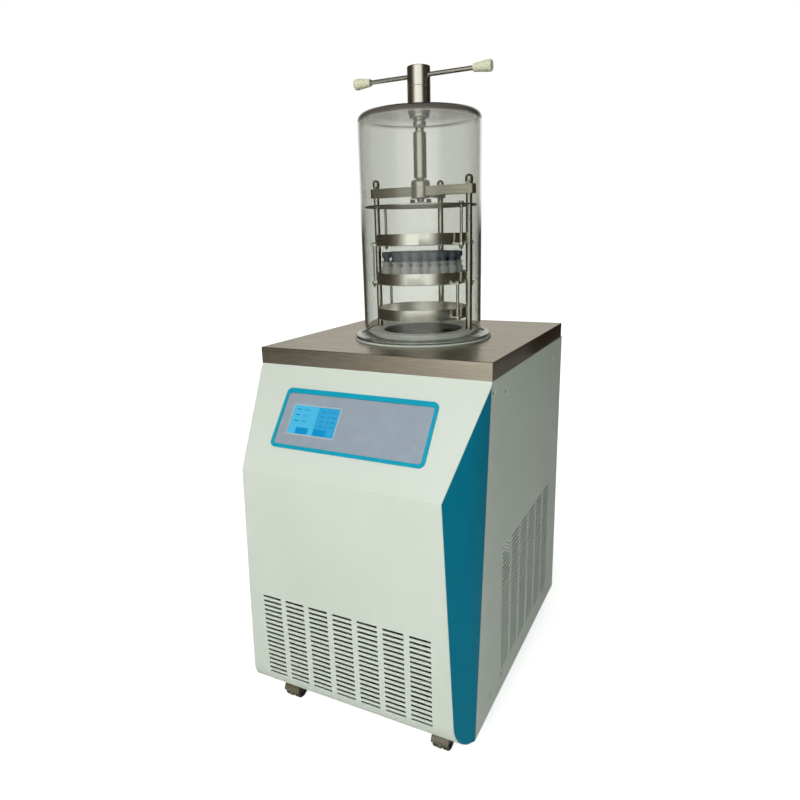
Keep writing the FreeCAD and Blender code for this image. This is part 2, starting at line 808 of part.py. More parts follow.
def fan_housing():
    """Shroud and ring behind the condenser, with the motor on four arms."""
    shroud = box((-condenser_half, condenser_half), (condenser_y[1], condenser_y[1] + 2),
                 condenser_z)
    ring_y = (condenser_y[1], condenser_y[1] + 36.0)
    collar = rod(fan_ring + 2, (0, ring_y[0], fan_z), (0, ring_y[1], fan_z))
    opening = rod(fan_ring, (0, ring_y[0] - 1, fan_z), (0, ring_y[1] + 1, fan_z))
    motor = rod(motor_radius, (0, motor_y, fan_z), (0, motor_y + 44, fan_z))
    arms = []
    for angle in (45, 135, 225, 315):
        arm = box((motor_radius - 2, fan_ring + 1), (motor_y, motor_y + 4), (-4, 4))
        arm.rotate(V(0, 0, 0), V(0, 1, 0), angle)
        arm.translate(V(0, 0, fan_z))
        arms.append(arm)
    shaft_bore = rod(line_radius + seat_gap, (0, motor_y - 1, fan_z), (0, motor_y + 18, fan_z))
    return join([join([shroud, collar]).cut(opening), motor] + arms).cut(shaft_bore)


def fan_blades():
    """Hub, shaft and pitched blades of the condenser fan."""
    hub = rod(28.0, (0, fan_y - 10, fan_z), (0, fan_y + 10, fan_z))
    shaft = rod(line_radius, (0, fan_y, fan_z), (0, motor_y + 16, fan_z))
    pieces = [hub, shaft]
    for i in range(fan_blade_count):
        blade = box((24, fan_radius), (-20, 20), (-1.0, 1.0))
        blade.rotate(V(0, 0, 0), V(1, 0, 0), 90 - fan_pitch)
        blade.rotate(V(0, 0, 0), V(0, 1, 0), 360 / fan_blade_count * i)
        blade.translate(V(0, fan_y, fan_z))
        pieces.append(blade)
    return pieces[0].multiFuse(pieces[1:])


compressor_centre = (compressor_x, rear - compressor_rear_inset)
compressor_top = pan_bottom + compressor_height


def compressor():
    """Welded compressor shell on a footplate with four bushes."""
    low = pan_top + 18.0
    shell = turned([(0, low), (compressor_radius, low, 25.0),
                    (compressor_radius, compressor_top, 38.0), (0, compressor_top)],
                   compressor_centre)
    x, y = compressor_centre
    foot = box((x - 80, x + 80), (y - 55, y + 55), (pan_top + 15, pan_top + 18.5))
    bushes = [upright(9.0, (x + dx, y + dy), pan_top, pan_top + 15.5)
              for dx in (-70, 70) for dy in (-45, 45)]
    terminals = box((x - compressor_radius - 12, x - compressor_radius + 8), (y - 20, y + 20),
                    (low + 60, low + 105))
    return join([shell, foot, terminals] + bushes)


drier_centre = (drier_x, front + drier_reach)
drier_z = (pan_bottom + drier_bottom, pan_bottom + drier_bottom + drier_length)


def filter_drier():
    """Copper capsule in the liquid line."""
    low, high = drier_z
    return turned([(0, low), (line_radius + 1, low), (line_radius + 1, low + 8), (15.0, low + 24, 6.0),
                   (15.0, high - 24, 6.0), (line_radius + 1, high - 8), (line_radius + 1, high),
                   (0, high)], drier_centre)


def refrigerant_pipes():
    """Discharge, liquid, capillary and suction lines."""
    turn = end_plate + 8.0 + condenser_tube
    side_run = post_x - 45.0
    x, y = compressor_centre
    outlet_level = pan_bottom + 115.0
    discharge = pipe([(x + compressor_radius, y, outlet_level), (side_run, y, outlet_level),
                      (side_run, condenser_mid_y, outlet_level),
                      (side_run, condenser_mid_y, condenser_levels[-1]),
                      (turn - condenser_tube, condenser_mid_y, condenser_levels[-1])],
                     line_radius, line_bend)
    dx, dy = drier_centre
    liquid = pipe([(-turn + condenser_tube, condenser_mid_y, condenser_levels[0]),
                   (dx, condenser_mid_y, condenser_levels[0]), (dx, dy, condenser_levels[0]),
                   (dx, dy, drier_z[0])], line_radius, line_bend / 2)
    inlet = polar(header_circle, header_angles[0])
    outlet = polar(header_circle, header_angles[1])
    rise = drier_z[1] + 95.0
    coil_end = trap_bottom + coil_start - header_radius
    feed = pipe([(dx, dy, drier_z[1]), (dx, dy, rise), (dx, inlet[1], rise),
                 (inlet[0], inlet[1], rise), (inlet[0], inlet[1], coil_end)], line_radius, line_bend)
    level = compressor_top + 50.0
    suction = pipe([(outlet[0], outlet[1], coil_end), (outlet[0], outlet[1], level),
                    (outlet[0], y + 30, level), (x, y + 30, level), (x, y + 30, compressor_top)],
                   line_radius, line_bend)
    return Part.makeCompound([discharge, liquid, feed, suction])


# ---------------------------------------------------------------- cold trap


def cold_trap_pot():
    """Deep-drawn pot that hangs from its flange on the worktop."""
    top = worktop_top + trap_flange_thickness
    pot = turned([(0, trap_bottom), (trap_outer, trap_bottom, 20.0), (trap_outer, worktop_top),
                  (trap_flange_radius, worktop_top), (trap_flange_radius, top, 1.0),
                  (trap_radius, top, 1.0), (trap_radius, trap_bottom + trap_wall, 18.0),
                  (0, trap_bottom + trap_wall)], chamber)
    outlet = rod(port_inner, (chamber_x, chamber_y + trap_radius - 10, port_z),
                 (chamber_x, chamber_y + trap_outer + 10, port_z))
    drain = upright(drain_inner, chamber, trap_bottom - 1, trap_bottom + trap_wall + 1)
    return cut_all(pot, [outlet, drain])


def evaporator_coil():
    """Turns of copper tube round the pot, joined by two headers."""
    levels = [trap_bottom + coil_start + i * coil_pitch for i in range(coil_turns)]
    turns = [Part.makeTorus(coil_radius, coil_tube_radius, V(chamber_x, chamber_y, level), UP)
             for level in levels]
    headers = [upright(header_radius, polar(header_circle, angle), levels[0] - header_radius,
                       levels[-1] + header_radius) for angle in header_angles]
    return turns[0].multiFuse(turns[1:] + headers)


def trap_insulation():
    """Foam jacket round the pot and its coil."""
    bottom = trap_bottom - insulation_floor
    top = worktop_top - sheet - 8.0
    jacket = turned([(0, bottom), (insulation_radius, bottom, 8.0), (insulation_radius, top),
                     (insulation_bore, top), (insulation_bore, trap_bottom - seat_gap),
                     (0, trap_bottom - seat_gap)], chamber)
    holes = [upright(drain_outer + seat_gap, chamber, bottom - 1, trap_bottom)]
    holes += [upright(line_radius + seat_gap, polar(header_circle, angle), bottom - 1, trap_bottom)
              for angle in header_angles]
    holes.append(rod(port_outer + seat_gap, (chamber_x, chamber_y, port_z),
                     (chamber_x, chamber_y + insulation_radius + 5, port_z)))
    return cut_all(jacket, holes)


def vacuum_port():
    """Pipe from the pot to a clamp flange behind the cabinet."""
    end = rear + port_reach
    start = chamber_y + trap_radius - 5
    tube = rod(port_outer, (chamber_x, start, port_z), (chamber_x, end, port_z))
    lip = rod(port_flange_radius, (chamber_x, end - 3, port_z), (chamber_x, end, port_z))
    cone = Part.makeCone(port_outer, port_flange_radius, 5, V(chamber_x, end - 8, port_z),
                         V(0, 1, 0))
    bore = rod(port_inner, (chamber_x, start - 1, port_z), (chamber_x, end + 1, port_z))
    pot = upright(trap_outer, chamber, trap_bottom, worktop_top)
    return cut_all(join([tube, lip, cone]), [bore, pot])


def drain_pipe():
    """Pipe from the bottom of the pot to the rear panel."""
    return pipe([(chamber_x, chamber_y, trap_bottom), (chamber_x, chamber_y, drain_z),
                 (chamber_x, rear - 8.0, drain_z)], drain_outer, drain_bend, drain_inner)


valve_pivot = (chamber_x, rear + 14.0)
valve_boss_top = drain_z + 15.0
lever_length = 48.0


def drain_valve():
    """Ball-valve body on the rear panel, with its hose barb pointing down."""
    x = chamber_x
    elbow_y = rear + valve_reach - barb_radius
    pieces = [rod(drain_outer, (x, rear - 8.0, drain_z), (x, rear + 2, drain_z)),
              rod(11.0, (x, rear + seat_gap, drain_z), (x, rear + 28, drain_z)),
              rod(drain_outer, (x, rear + 26, drain_z), (x, elbow_y, drain_z)),
              upright(drain_outer, (x, elbow_y), drain_z - 20, drain_z + drain_outer),
              upright(7.0, valve_pivot, drain_z, valve_boss_top)]
    for i in range(3):
        low = drain_z - 20 + i * 5.0
        pieces.append(Part.makeCone(drain_outer - 0.6, barb_radius, 4.0, V(x, elbow_y, low)))
    bores = [rod(drain_inner, (x, rear - 9.0, drain_z), (x, rear + 4, drain_z)),
             upright(drain_inner, (x, elbow_y), drain_z - 21, drain_z),
             upright(4.0, valve_pivot, drain_z + 6, valve_boss_top + 1)]
    return cut_all(join(pieces), bores)


def drain_lever():
    """Lever of the drain valve, across the pipe when shut."""
    x, y = valve_pivot
    low = valve_boss_top + seat_gap
    hub = upright(7.0, valve_pivot, low, low + 3)
    stem = upright(4.0 - running_gap, valve_pivot, drain_z + 6.5, low + 1)
    bar = box((x, x + lever_length - 4), (y - 4, y + 4), (low, low + 3))
    tip = upright(4.0, (x + lever_length - 4, y), low, low + 3)
    return join([hub, stem, bar, tip])


# ---------------------------------------------------------------- chamber base and rack


def above(*heights):
    """Heights above the worktop, as heights above the floor."""
    return tuple(worktop_top + height for height in heights)


def chamber_seal():
    """Flat rubber ring that the chamber cover stands on."""
    low, high = above(0, seal_thickness)
    return turned([(seal_inner, low), (seal_outer, low, 1.0), (seal_outer, high, 1.0),
                   (seal_inner, high)], chamber)


def rack_base():
    """Turned stainless ring with a skirt; vapour passes down its wide bore."""
    foot, under, top = above(trap_flange_thickness, rack_base_top - rack_base_plate, rack_base_top)
    disc = turned([(rack_base_bore, under), (rack_base_radius - 3, under),
                   (rack_base_radius - 3, foot), (rack_base_radius, foot),
                   (rack_base_radius, top, 3.0), (rack_base_bore, top, 1.0)], chamber)
    holes = [upright(stud_radius + running_gap, polar(post_circle, angle), foot, top + 1)
             for angle in post_angles]
    return cut_all(disc, holes)


def rack_posts():
    """Three polished posts with a stud at each end."""
    low, high = above(rack_base_top, bar_bottom)
    posts = []
    for angle in post_angles:
        centre = polar(post_circle, angle)
        stud = upright(stud_radius, centre, low - rack_base_plate + 0.5, high + bar_height + 12)
        posts.append(upright(post_radius, centre, low, high).fuse(stud))
    return Part.makeCompound(posts)


def acorn_nuts():
    """Cap nuts on the posts' upper studs."""
    low = above(bar_bottom + bar_height)[0]
    nuts = []
    for angle in post_angles:
        centre = polar(post_circle, angle)
        base = hexagon(nut_across, centre, low, low + 5)
        dome = turned([(0, low + 4), (nut_dome_radius, low + 4, 2.5),
                       (nut_dome_radius, low + nut_height, nut_dome_radius - 0.2),
                       (0, low + nut_height)], centre)
        bore = upright(stud_radius + running_gap, centre, low - 1, low + 12.5)
        nuts.append(join([base, dome]).cut(bore))
    return Part.makeCompound(nuts)


def crossbar():
    """Three-armed bar on the posts, with the press screw's boss in its middle."""
    low, high = above(bar_bottom, bar_bottom + bar_height)
    boss_low, boss_high = above(boss_bottom, boss_top)
    pieces = [turned([(0, boss_low), (boss_radius, boss_low, 1.5), (boss_radius, boss_high, 7.0),
                      (0, boss_high)], chamber)]
    bar_end = post_circle + bar_end_reach
    for angle in post_angles:
        arm = box((0, bar_end), (-bar_width / 2, bar_width / 2), (low, high))
        arm.rotate(V(0, 0, 0), UP, angle)
        arm.translate(V(chamber_x, chamber_y, 0))
        pieces += [arm, upright(bar_width / 2, polar(bar_end, angle), low, high)]
    bores = [upright(stud_radius + running_gap, polar(post_circle, angle), low - 1, high + 1)
             for angle in post_angles]
    bores.append(upright(screw_radius + running_gap, chamber, boss_low - 1, boss_high + 1))
    return cut_all(join(pieces), bores)


def press_plate():
    """Thin plate that slides on the posts, with clearance holes for the rods."""
    low, high = above(plate_bottom, plate_top)
    holes = [upright(post_radius + 0.5, polar(post_circle, angle), low - 1, high + 1)
             for angle in post_angles]
    holes += [upright(outer_rod_radius + 0.5, polar(rod_circle, angle), low - 1, high + 1)
              for angle in upper_rod_angles]
    holes += [upright(rod_radius + rod_head_rim + 1.0, polar(rod_circle, angle), low - 1, high + 1)
              for angle in middle_rod_angles]
    holes += [upright(plate_screw_radius, polar(plate_screw_circle, angle), low - 1, high + 1)
              for angle in plate_screw_angles]
    return cut_all(upright(plate_radius, chamber, low, high), holes)


plate_screw_radius = 3.0
plate_screw_head = 5.3
plate_screw_circle = 17.5
plate_screw_angles = (20.0, 200.0)


def screw_retainer():
    """Cap on the plate that holds the press screw's collar."""
    low, high = above(plate_top, plate_top + retainer_height)
    cap = turned([(0, low), (retainer_radius, low), (retainer_radius, high, 1.5), (0, high)], chamber)
    pocket = upright(screw_radius + seat_gap, chamber, low - 1, low + 3)
    neck = upright(screw_radius - 3 + seat_gap, chamber, low, high + 1)
    holes = [upright(plate_screw_radius, polar(plate_screw_circle, angle), low - 1, high + 1)
             for angle in plate_screw_angles]
    return cut_all(cap, [pocket, neck] + holes)


def plate_screws():
    """Two socket screws through the retainer and the plate."""
    low, seat = above(plate_bottom, plate_top + retainer_height)
    screws = []
    for angle in plate_screw_angles:
        centre = polar(plate_screw_circle, angle)
        head = upright(plate_screw_head, centre, seat, seat + 7)
        socket = hexagon(4.5, centre, seat + 3, seat + 8)
        screws.append(head.fuse(upright(plate_screw_radius, centre, low, seat)).cut(socket))
    return Part.makeCompound(screws)


def press_screw():
    """Screw with a collar at its foot and a hexagonal head inside the spindle."""
    collar_low, collar_high = above(plate_top + seat_gap, plate_top + 3 - seat_gap)
    neck_top, shank_low = above(plate_top + retainer_height + 1, plate_top + retainer_height + 4)
    hex_low, hex_high = above(hex_bottom, hex_bottom + screw_hex_length)
    shank = turned([(0, collar_low), (screw_radius, collar_low), (screw_radius, collar_high),
                    (screw_radius - 3, collar_high), (screw_radius - 3, neck_top),
                    (screw_radius, shank_low), (screw_radius, hex_low + 1), (0, hex_low + 1)],
                   chamber)
    return join([shank, hexagon(screw_hex_across, chamber, hex_low, hex_high)])


# ---------------------------------------------------------------- trays, rods and vials


upper_set = (outer_rod_radius, upper_rod_angles)
middle_set = (rod_radius, middle_rod_angles)
lower_set = (outer_rod_radius, lower_rod_angles)


def tray(bottom, rise, fixed, sliding):
    """Shallow round tray with lugs for the rods; fixed and sliding are (rod radius, angles)."""
    low, high = above(bottom, bottom + tray_height)
    pan = turned([(0, low), (tray_radius, low, 2.0), (tray_radius, high), (tray_radius - tray_wall, high),
                  (tray_radius - tray_wall, low + tray_wall, 0.8), (0, low + tray_wall)], chamber)
    lug_z = (low + rise, low + rise + lug_thickness)
    lugs = []
    for angle in fixed[1] + sliding[1]:
        tab = box((tray_radius - tray_wall, rod_circle), (-lug_width / 2, lug_width / 2), lug_z)
        tab.rotate(V(0, 0, 0), UP, angle)
        tab.translate(V(chamber_x, chamber_y, 0))
        lugs += [tab, upright(lug_width / 2, polar(rod_circle, angle), *lug_z)]
    inside = upright(tray_radius - tray_wall, chamber, low + tray_wall, high)
    holes = [upright(radius + gap, polar(rod_circle, angle), low, high)
             for (radius, angles), gap in ((fixed, running_gap), (sliding, 0.5))
             for angle in angles]
    lug_set = cut_all(lugs[0].multiFuse(lugs[1:]), [inside] + holes)
    return join([pan, lug_set])


def rods(radius, angles, bottom, rise, seat):
    """Rods fixed under a tray's lugs, whose heads hang on the piece above."""
    nut = radius + rod_head_rim
    lug_bottom, head_low = above(bottom + rise, seat + seat_gap)
    tip = lug_bottom - rod_tip
    made = []
    for angle in angles:
        made.append(turned([(0, tip), (0.8, tip), (nut, tip + 7), (nut, lug_bottom),
                            (radius, lug_bottom), (radius, head_low), (nut, head_low),
                            (nut, head_low + rod_head_height, 1.0),
                            (0, head_low + rod_head_height)], polar(rod_circle, angle)))
    return Part.makeCompound(made)


def lower_rods():
    """The lower tray's rods: flush nuts, so that the tray can land on the rack's base."""
    lug_bottom, head_low = above(lower_tray_bottom + lower_lug_rise,
                                 middle_tray_bottom + lug_rise + lug_thickness + seat_gap)
    radius, nut = outer_rod_radius, outer_rod_radius + rod_head_rim
    made = []
    for angle in lower_rod_angles:
        made.append(turned([(0, lug_bottom - 4), (nut, lug_bottom - 4), (nut, lug_bottom),
                            (radius, lug_bottom), (radius, head_low), (nut, head_low),
                            (nut, head_low + rod_head_height, 1.0),
                            (0, head_low + rod_head_height)], polar(rod_circle, angle)))
    return Part.makeCompound(made)


def vial_places():
    """Middles of the vials: a close-packed pattern that fits in the tray."""
    limit = tray_radius - tray_wall - vial_radius
    vial_pitch = 2 * vial_radius + vial_gap
    vial_rings = int(tray_radius / vial_pitch)
    places = []
    for row in range(-vial_rings, vial_rings + 1):
        for column in range(-vial_rings, vial_rings + 1):
            x = (column + row / 2) * vial_pitch
            y = row * vial_pitch * math.sqrt(3) / 2
            if math.hypot(x, y) < limit:
                places.append((chamber_x + x, chamber_y + y))
    return places


vial_floor = worktop_top + middle_tray_bottom + tray_wall


def vials():
    """Open glass vials standing in the middle tray."""
    low, top = vial_floor, vial_floor + vial_height
    inner = vial_radius - vial_glass
    corners = [(0, low), (vial_radius, low), (vial_radius, top - 13), (vial_neck_radius, top - 9),
               (vial_neck_radius, top - 4), (vial_lip_radius, top - 4), (vial_lip_radius, top),
               (vial_bore, top), (vial_bore, top - 9), (inner, top - 14), (inner, low + vial_glass),
               (0, low + vial_glass)]
    return Part.makeCompound([turned(corners, place) for place in vial_places()])


def stoppers():
    """Rubber stoppers half out of the vials' necks."""
    seat = vial_floor + vial_height + stopper_rise
    plug_low = vial_floor + vial_height - stopper_plug_depth
    corners = [(0, plug_low), (stopper_plug, plug_low), (stopper_plug, seat), (stopper_radius, seat),
               (stopper_radius, seat + stopper_flange), (0, seat + stopper_flange)]
    return Part.makeCompound([turned(corners, place) for place in vial_places()])


# ---------------------------------------------------------------- chamber cover and T-handle


def chamber_cover():
    """Clear acrylic cylinder with a flanged foot and a shallow crown."""
    low, foot_top, crown = above(seal_thickness, seal_thickness + acrylic_flange, crown_height)
    inner = acrylic_radius - acrylic_wall
    bore = hub_stem_radius + seat_gap
    shoulder = crown - crown_drop
    mid = (acrylic_radius + bore) / 2 + 17.0
    outer_side = [(acrylic_flange_radius, low), (acrylic_flange_radius, foot_top, 2.0),
                  (acrylic_radius, foot_top, acrylic_fillet), (acrylic_radius, shoulder, shoulder_radius),
                  (mid, crown - crown_drop / 3, 120.0), (bore, crown)]
    inner_side = [(bore, crown - crown_thickness),
                  (mid, crown - crown_drop / 3 - crown_thickness, 107.0),
                  (inner, shoulder - crown_thickness + 1, shoulder_radius - acrylic_wall),
                  (inner, low)]
    return turned(outer_side + inner_side, chamber)


def seal_hub():
    """Fixed half of the hub, with a stem through the crown."""
    low, crown, split = above(hub_stem_bottom, crown_height, hub_split - seat_gap)
    bore = spindle_radius + running_gap
    return turned([(bore, low), (hub_stem_radius, low, 1.0), (hub_stem_radius, crown),
                   (hub_radius, crown), (hub_radius, split, 0.8), (bore, split)], chamber)


def hub_nut():
    """Round nut with four slots, screwed on the hub's stem against the crown."""
    top = above(crown_height - crown_thickness - 0.5)[0]
    low = top - hub_nut_height
    ring = turned([(hub_stem_radius + running_gap, low), (hub_nut_radius, low, 1.2),
                   (hub_nut_radius, top, 0.5), (hub_stem_radius + running_gap, top)], chamber)
    slots = []
    for angle in (45, 135, 225, 315):
        slot = box((hub_nut_radius - 1.6, hub_nut_radius + 2), (-2.0, 2.0), (low - 1, low + 4.5))
        slot.rotate(V(0, 0, 0), UP, angle)
        slot.translate(V(chamber_x, chamber_y, 0))
        slots.append(slot)
    return cut_all(ring, slots)


def spindle():
    """Turning half of the hub on a tube with a hexagonal socket."""
    low, split, top = above(spindle_bottom, hub_split, hub_top)
    socket_top = above(hex_bottom + screw_hex_length + 4)[0]
    groove_low, groove_high = above(*spindle_groove)
    body = turned([(0, low), (spindle_radius, low, 1.0), (spindle_radius, groove_low, 0.6),
                   (spindle_groove_radius, groove_low), (spindle_groove_radius, groove_high),
                   (spindle_radius, groove_high, 1.8), (spindle_radius, split),
                   (hub_radius, split), (hub_radius, top, 1.5), (0, top)], chamber)
    socket = hexagon(screw_hex_across + 2 * socket_gap, chamber, low - 1, socket_top)
    cross = rod(tee_bar_radius + running_gap, (chamber_x - 60, chamber_y, above(tee_height)[0]),
                (chamber_x + 60, chamber_y, above(tee_height)[0]))
    return cut_all(body, [socket, cross])


def tee_bar():
    """Cross bar of the T-handle."""
    z = above(tee_height)[0]
    reach = tee_half_length - 7.0
    middle = chamber_x + tee_shift
    return rod(tee_bar_radius, (middle - reach, chamber_y, z), (middle + reach, chamber_y, z))


def tee_knobs():
    """Tapered hand knobs on the bar's ends."""
    z = above(tee_height)[0]
    inner_end = tee_half_length - knob_length
    corners = [(inner_end, 0), (inner_end, knob_inner_radius, 1.5),
               (tee_half_length - 6, knob_outer_radius, 2.0),
               (tee_half_length, knob_outer_radius - 2.5, 2.0), (tee_half_length, 0)]
    section = face(corners, lambda x, r: V(x, 0, r))
    knob = section.revolve(V(0, 0, 0), V(1, 0, 0), 360)
    knob = knob.cut(rod(tee_bar_radius, (0, 0, 0), (tee_half_length - 7.0, 0, 0)))
    pair = [knob, mirrored(knob)]
    for shape in pair:
        shape.translate(V(chamber_x + tee_shift, chamber_y, z))
    return Part.makeCompound(pair)


# ---------------------------------------------------------------- casters

caster_rows = {"front": front - caster_front_reach, "rear": rear - caster_rear_inset}
caster_x = cabinet_width / 2 - caster_side_inset
caster_places = {row + "_" + side: (sign * caster_x, y) for row, y in caster_rows.items()
                 for side, sign in (("left", -1), ("right", 1))}
caster_stems = list(caster_places.values())


def caster_fork(stem):
    """Hood and web between the wheels, with the swivel stem."""
    x, y = stem
    axle_y = y - caster_trail
    z = wheel_radius
    half = wheel_outer + 1.0
    hood = rod(hood_radius, (x - half, axle_y, z), (x + half, axle_y, z))
    hollow = rod(hood_radius - hood_wall, (x - half - 1, axle_y, z), (x + half + 1, axle_y, z))
    below = box((x - half - 1, x + half + 1), (axle_y - 40, axle_y + 40), (z - 40, z + 3))
    hood = cut_all(hood, [hollow, below])
    web_half = wheel_inner - 1.0
    web = rod(wheel_radius + 2.5, (x - web_half, axle_y, z), (x + web_half, axle_y, z))
    web = web.cut(box((x - 9, x + 9), (axle_y - 40, axle_y + 40), (z - 40, z - 8)))
    head_top = pan_bottom - pan_boss_drop - 0.5
    head = upright(9.0, stem, z + 16, head_top)
    pin = upright(stem_radius, stem, head_top - 1, pan_top + 7)
    bore = rod(axle_radius + 0.08, (x - 9, axle_y, z), (x + 9, axle_y, z))
    wheel_room = [rod(hood_radius - hood_wall, (x + side * web_half, axle_y, z),
                      (x + side * (half + 5), axle_y, z)) for side in (-1, 1)]
    return cut_all(join([hood, web, cut_all(head, wheel_room), pin]), [bore])


def caster_wheels(stem):
    """Two wheels pressed on one axle."""
    x, y = stem
    axle_y = y - caster_trail
    z = wheel_radius
    bore = axle_radius + 0.02
    corners = [(wheel_inner, bore), (wheel_inner, wheel_radius, 1.5), (wheel_outer, wheel_radius, 3.0),
               (wheel_outer, 15.5), (wheel_outer - 4, 14.0), (wheel_outer - 4, 7.0),
               (wheel_outer - 1, 6.0), (wheel_outer - 1, bore)]
    section = face(corners, lambda across, r: V(across, 0, r))
    wheel = section.revolve(V(0, 0, 0), V(1, 0, 0), 360)
    axle = rod(axle_radius, (1 - wheel_outer, 0, 0), (wheel_outer - 1, 0, 0))
    pieces = [wheel, mirrored(wheel), axle]
    for piece in pieces:
        piece.translate(V(x, axle_y, z))
    return Part.makeCompound(pieces)


# ---------------------------------------------------------------- every piece, one file each

upper_lug_top = upper_tray_bottom + lug_rise + lug_thickness
accent = accent_panel()
right_side = side_panel()
pieces = {
    "base_pan": base_pan(), "cabinet_frame": cabinet_frame(), "right_side_panel": right_side,
    "left_side_panel": mirrored(right_side), "rear_panel": rear_panel(),
    "front_cover": front_cover(), "right_accent_panel": accent,
    "left_accent_panel": mirrored(accent), "control_bezel": control_bezel(),
    "control_fascia": control_fascia(), "touch_screen": touch_screen(),
    "panel_screws": panel_screws(), "worktop": worktop(), "control_board": control_board(),
    "power_inlet": power_inlet(), "rocker_switch": rocker_switch(), "condenser": condenser(),
    "fan_housing": fan_housing(), "fan_blades": fan_blades(), "compressor": compressor(),
    "filter_drier": filter_drier(), "refrigerant_pipes": refrigerant_pipes(),
    "cold_trap_pot": cold_trap_pot(), "evaporator_coil": evaporator_coil(),
    "trap_insulation": trap_insulation(), "vacuum_port": vacuum_port(),
    "drain_pipe": drain_pipe(), "drain_valve": drain_valve(), "drain_lever": drain_lever(),
    "chamber_seal": chamber_seal(), "rack_base": rack_base(), "rack_posts": rack_posts(),
    "acorn_nuts": acorn_nuts(), "crossbar": crossbar(), "press_plate": press_plate(),
    "screw_retainer": screw_retainer(), "plate_screws": plate_screws(),
    "press_screw": press_screw(),
    "upper_tray": tray(upper_tray_bottom, lug_rise, upper_set, middle_set),
    "middle_tray": tray(middle_tray_bottom, lug_rise, middle_set, lower_set),
    "lower_tray": tray(lower_tray_bottom, lower_lug_rise, lower_set, (0, ())),
    "upper_rods": rods(*upper_set, upper_tray_bottom, lug_rise, plate_top),
    "middle_rods": rods(*middle_set, middle_tray_bottom, lug_rise, upper_lug_top),
    "lower_rods": lower_rods(), "vials": vials(), "stoppers": stoppers(),
    "chamber_cover": chamber_cover(), "seal_hub": seal_hub(), "hub_nut": hub_nut(),
    "spindle": spindle(), "tee_bar": tee_bar(), "tee_knobs": tee_knobs()}
for caster, stem in caster_places.items():
    pieces[caster + "_caster_fork"] = caster_fork(stem)
    pieces[caster + "_caster_wheels"] = caster_wheels(stem)

os.makedirs("parts", exist_ok=True)
for name, shape in pieces.items():
    shape.exportStep("parts/" + name + ".step")
    print(name, "solids", len(shape.Solids), "valid", shape.isValid(), "cm3",
          round(shape.Volume / 1000, 1))
print("files", len(pieces), "front", front, "rear", rear, "worktop_top", worktop_top)
print("travel: lower", lower_travel, "middle", middle_travel, "upper", upper_travel,
      "press", press_travel, "stoppers", stopper_travel)
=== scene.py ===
"""Looks of a floor-standing laboratory freeze dryer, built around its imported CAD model."""

import json
import math

import bmesh
import bpy
import numpy as np
from bpy.props import FloatProperty, FloatVectorProperty, IntProperty, PointerProperty
from mathutils import Matrix, Vector

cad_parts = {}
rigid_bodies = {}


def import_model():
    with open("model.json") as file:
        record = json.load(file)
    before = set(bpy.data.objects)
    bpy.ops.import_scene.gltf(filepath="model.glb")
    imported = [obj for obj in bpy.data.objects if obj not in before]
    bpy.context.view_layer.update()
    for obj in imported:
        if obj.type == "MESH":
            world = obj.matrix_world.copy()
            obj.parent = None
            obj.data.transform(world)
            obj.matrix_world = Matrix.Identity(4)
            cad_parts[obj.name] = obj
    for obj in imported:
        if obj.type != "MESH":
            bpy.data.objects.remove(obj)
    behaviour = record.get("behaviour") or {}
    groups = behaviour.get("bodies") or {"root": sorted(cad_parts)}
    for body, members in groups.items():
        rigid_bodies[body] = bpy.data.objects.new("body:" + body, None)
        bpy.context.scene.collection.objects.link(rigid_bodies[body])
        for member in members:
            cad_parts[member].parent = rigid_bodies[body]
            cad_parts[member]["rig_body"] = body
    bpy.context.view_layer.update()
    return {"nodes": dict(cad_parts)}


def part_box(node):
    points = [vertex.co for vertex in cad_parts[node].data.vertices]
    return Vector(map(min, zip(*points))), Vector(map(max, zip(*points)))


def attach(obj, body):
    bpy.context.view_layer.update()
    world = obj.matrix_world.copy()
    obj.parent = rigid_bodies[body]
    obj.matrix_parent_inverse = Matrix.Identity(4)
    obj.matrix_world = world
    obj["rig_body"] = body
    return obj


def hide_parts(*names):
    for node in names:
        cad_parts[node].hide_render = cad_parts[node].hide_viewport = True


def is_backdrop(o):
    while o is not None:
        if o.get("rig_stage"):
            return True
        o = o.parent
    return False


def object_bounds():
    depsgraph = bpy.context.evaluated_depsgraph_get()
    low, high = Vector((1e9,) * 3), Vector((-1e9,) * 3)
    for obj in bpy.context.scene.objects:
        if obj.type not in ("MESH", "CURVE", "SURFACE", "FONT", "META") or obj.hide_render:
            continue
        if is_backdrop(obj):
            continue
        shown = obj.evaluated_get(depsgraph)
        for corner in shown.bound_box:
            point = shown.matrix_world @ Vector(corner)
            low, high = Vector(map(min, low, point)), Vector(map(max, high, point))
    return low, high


bl_info = {
    "name": "Freeze dryer looks",
    "version": (1, 0, 0),
    "blender": (4, 5, 0),
    "location": "3D View > Sidebar > Freeze Dryer",
    "description": "Dresses the packed freeze dryer: finishes, fine parts, stage and camera",
    "category": "Object",
}

MM = 0.001
SHARP = 32.0                        # degrees between faces that still look like one curve
TINY = 1e-9                         # counts as nothing
MERGE = 0.001 * MM                  # points closer than this are one point
SHARP_BEND = 38.0 * MM              # bend at the foot of the panels as they are packed
WIDE_BEND = 66.0 * MM               # bend at the foot of the finished panels
BEND_STEPS = 7                      # rows of edges that the wide bend is made of
NOSE_BEYOND_FOOT = 4.4 * MM         # how far the cover's nose stands out past its foot

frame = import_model()
nodes = frame["nodes"]

CASTERS = [row + "_" + side for row in ("front", "rear") for side in ("left", "right")]

READINGS = ("-50.2", "12.6", "24.8")  # plain figures on the display

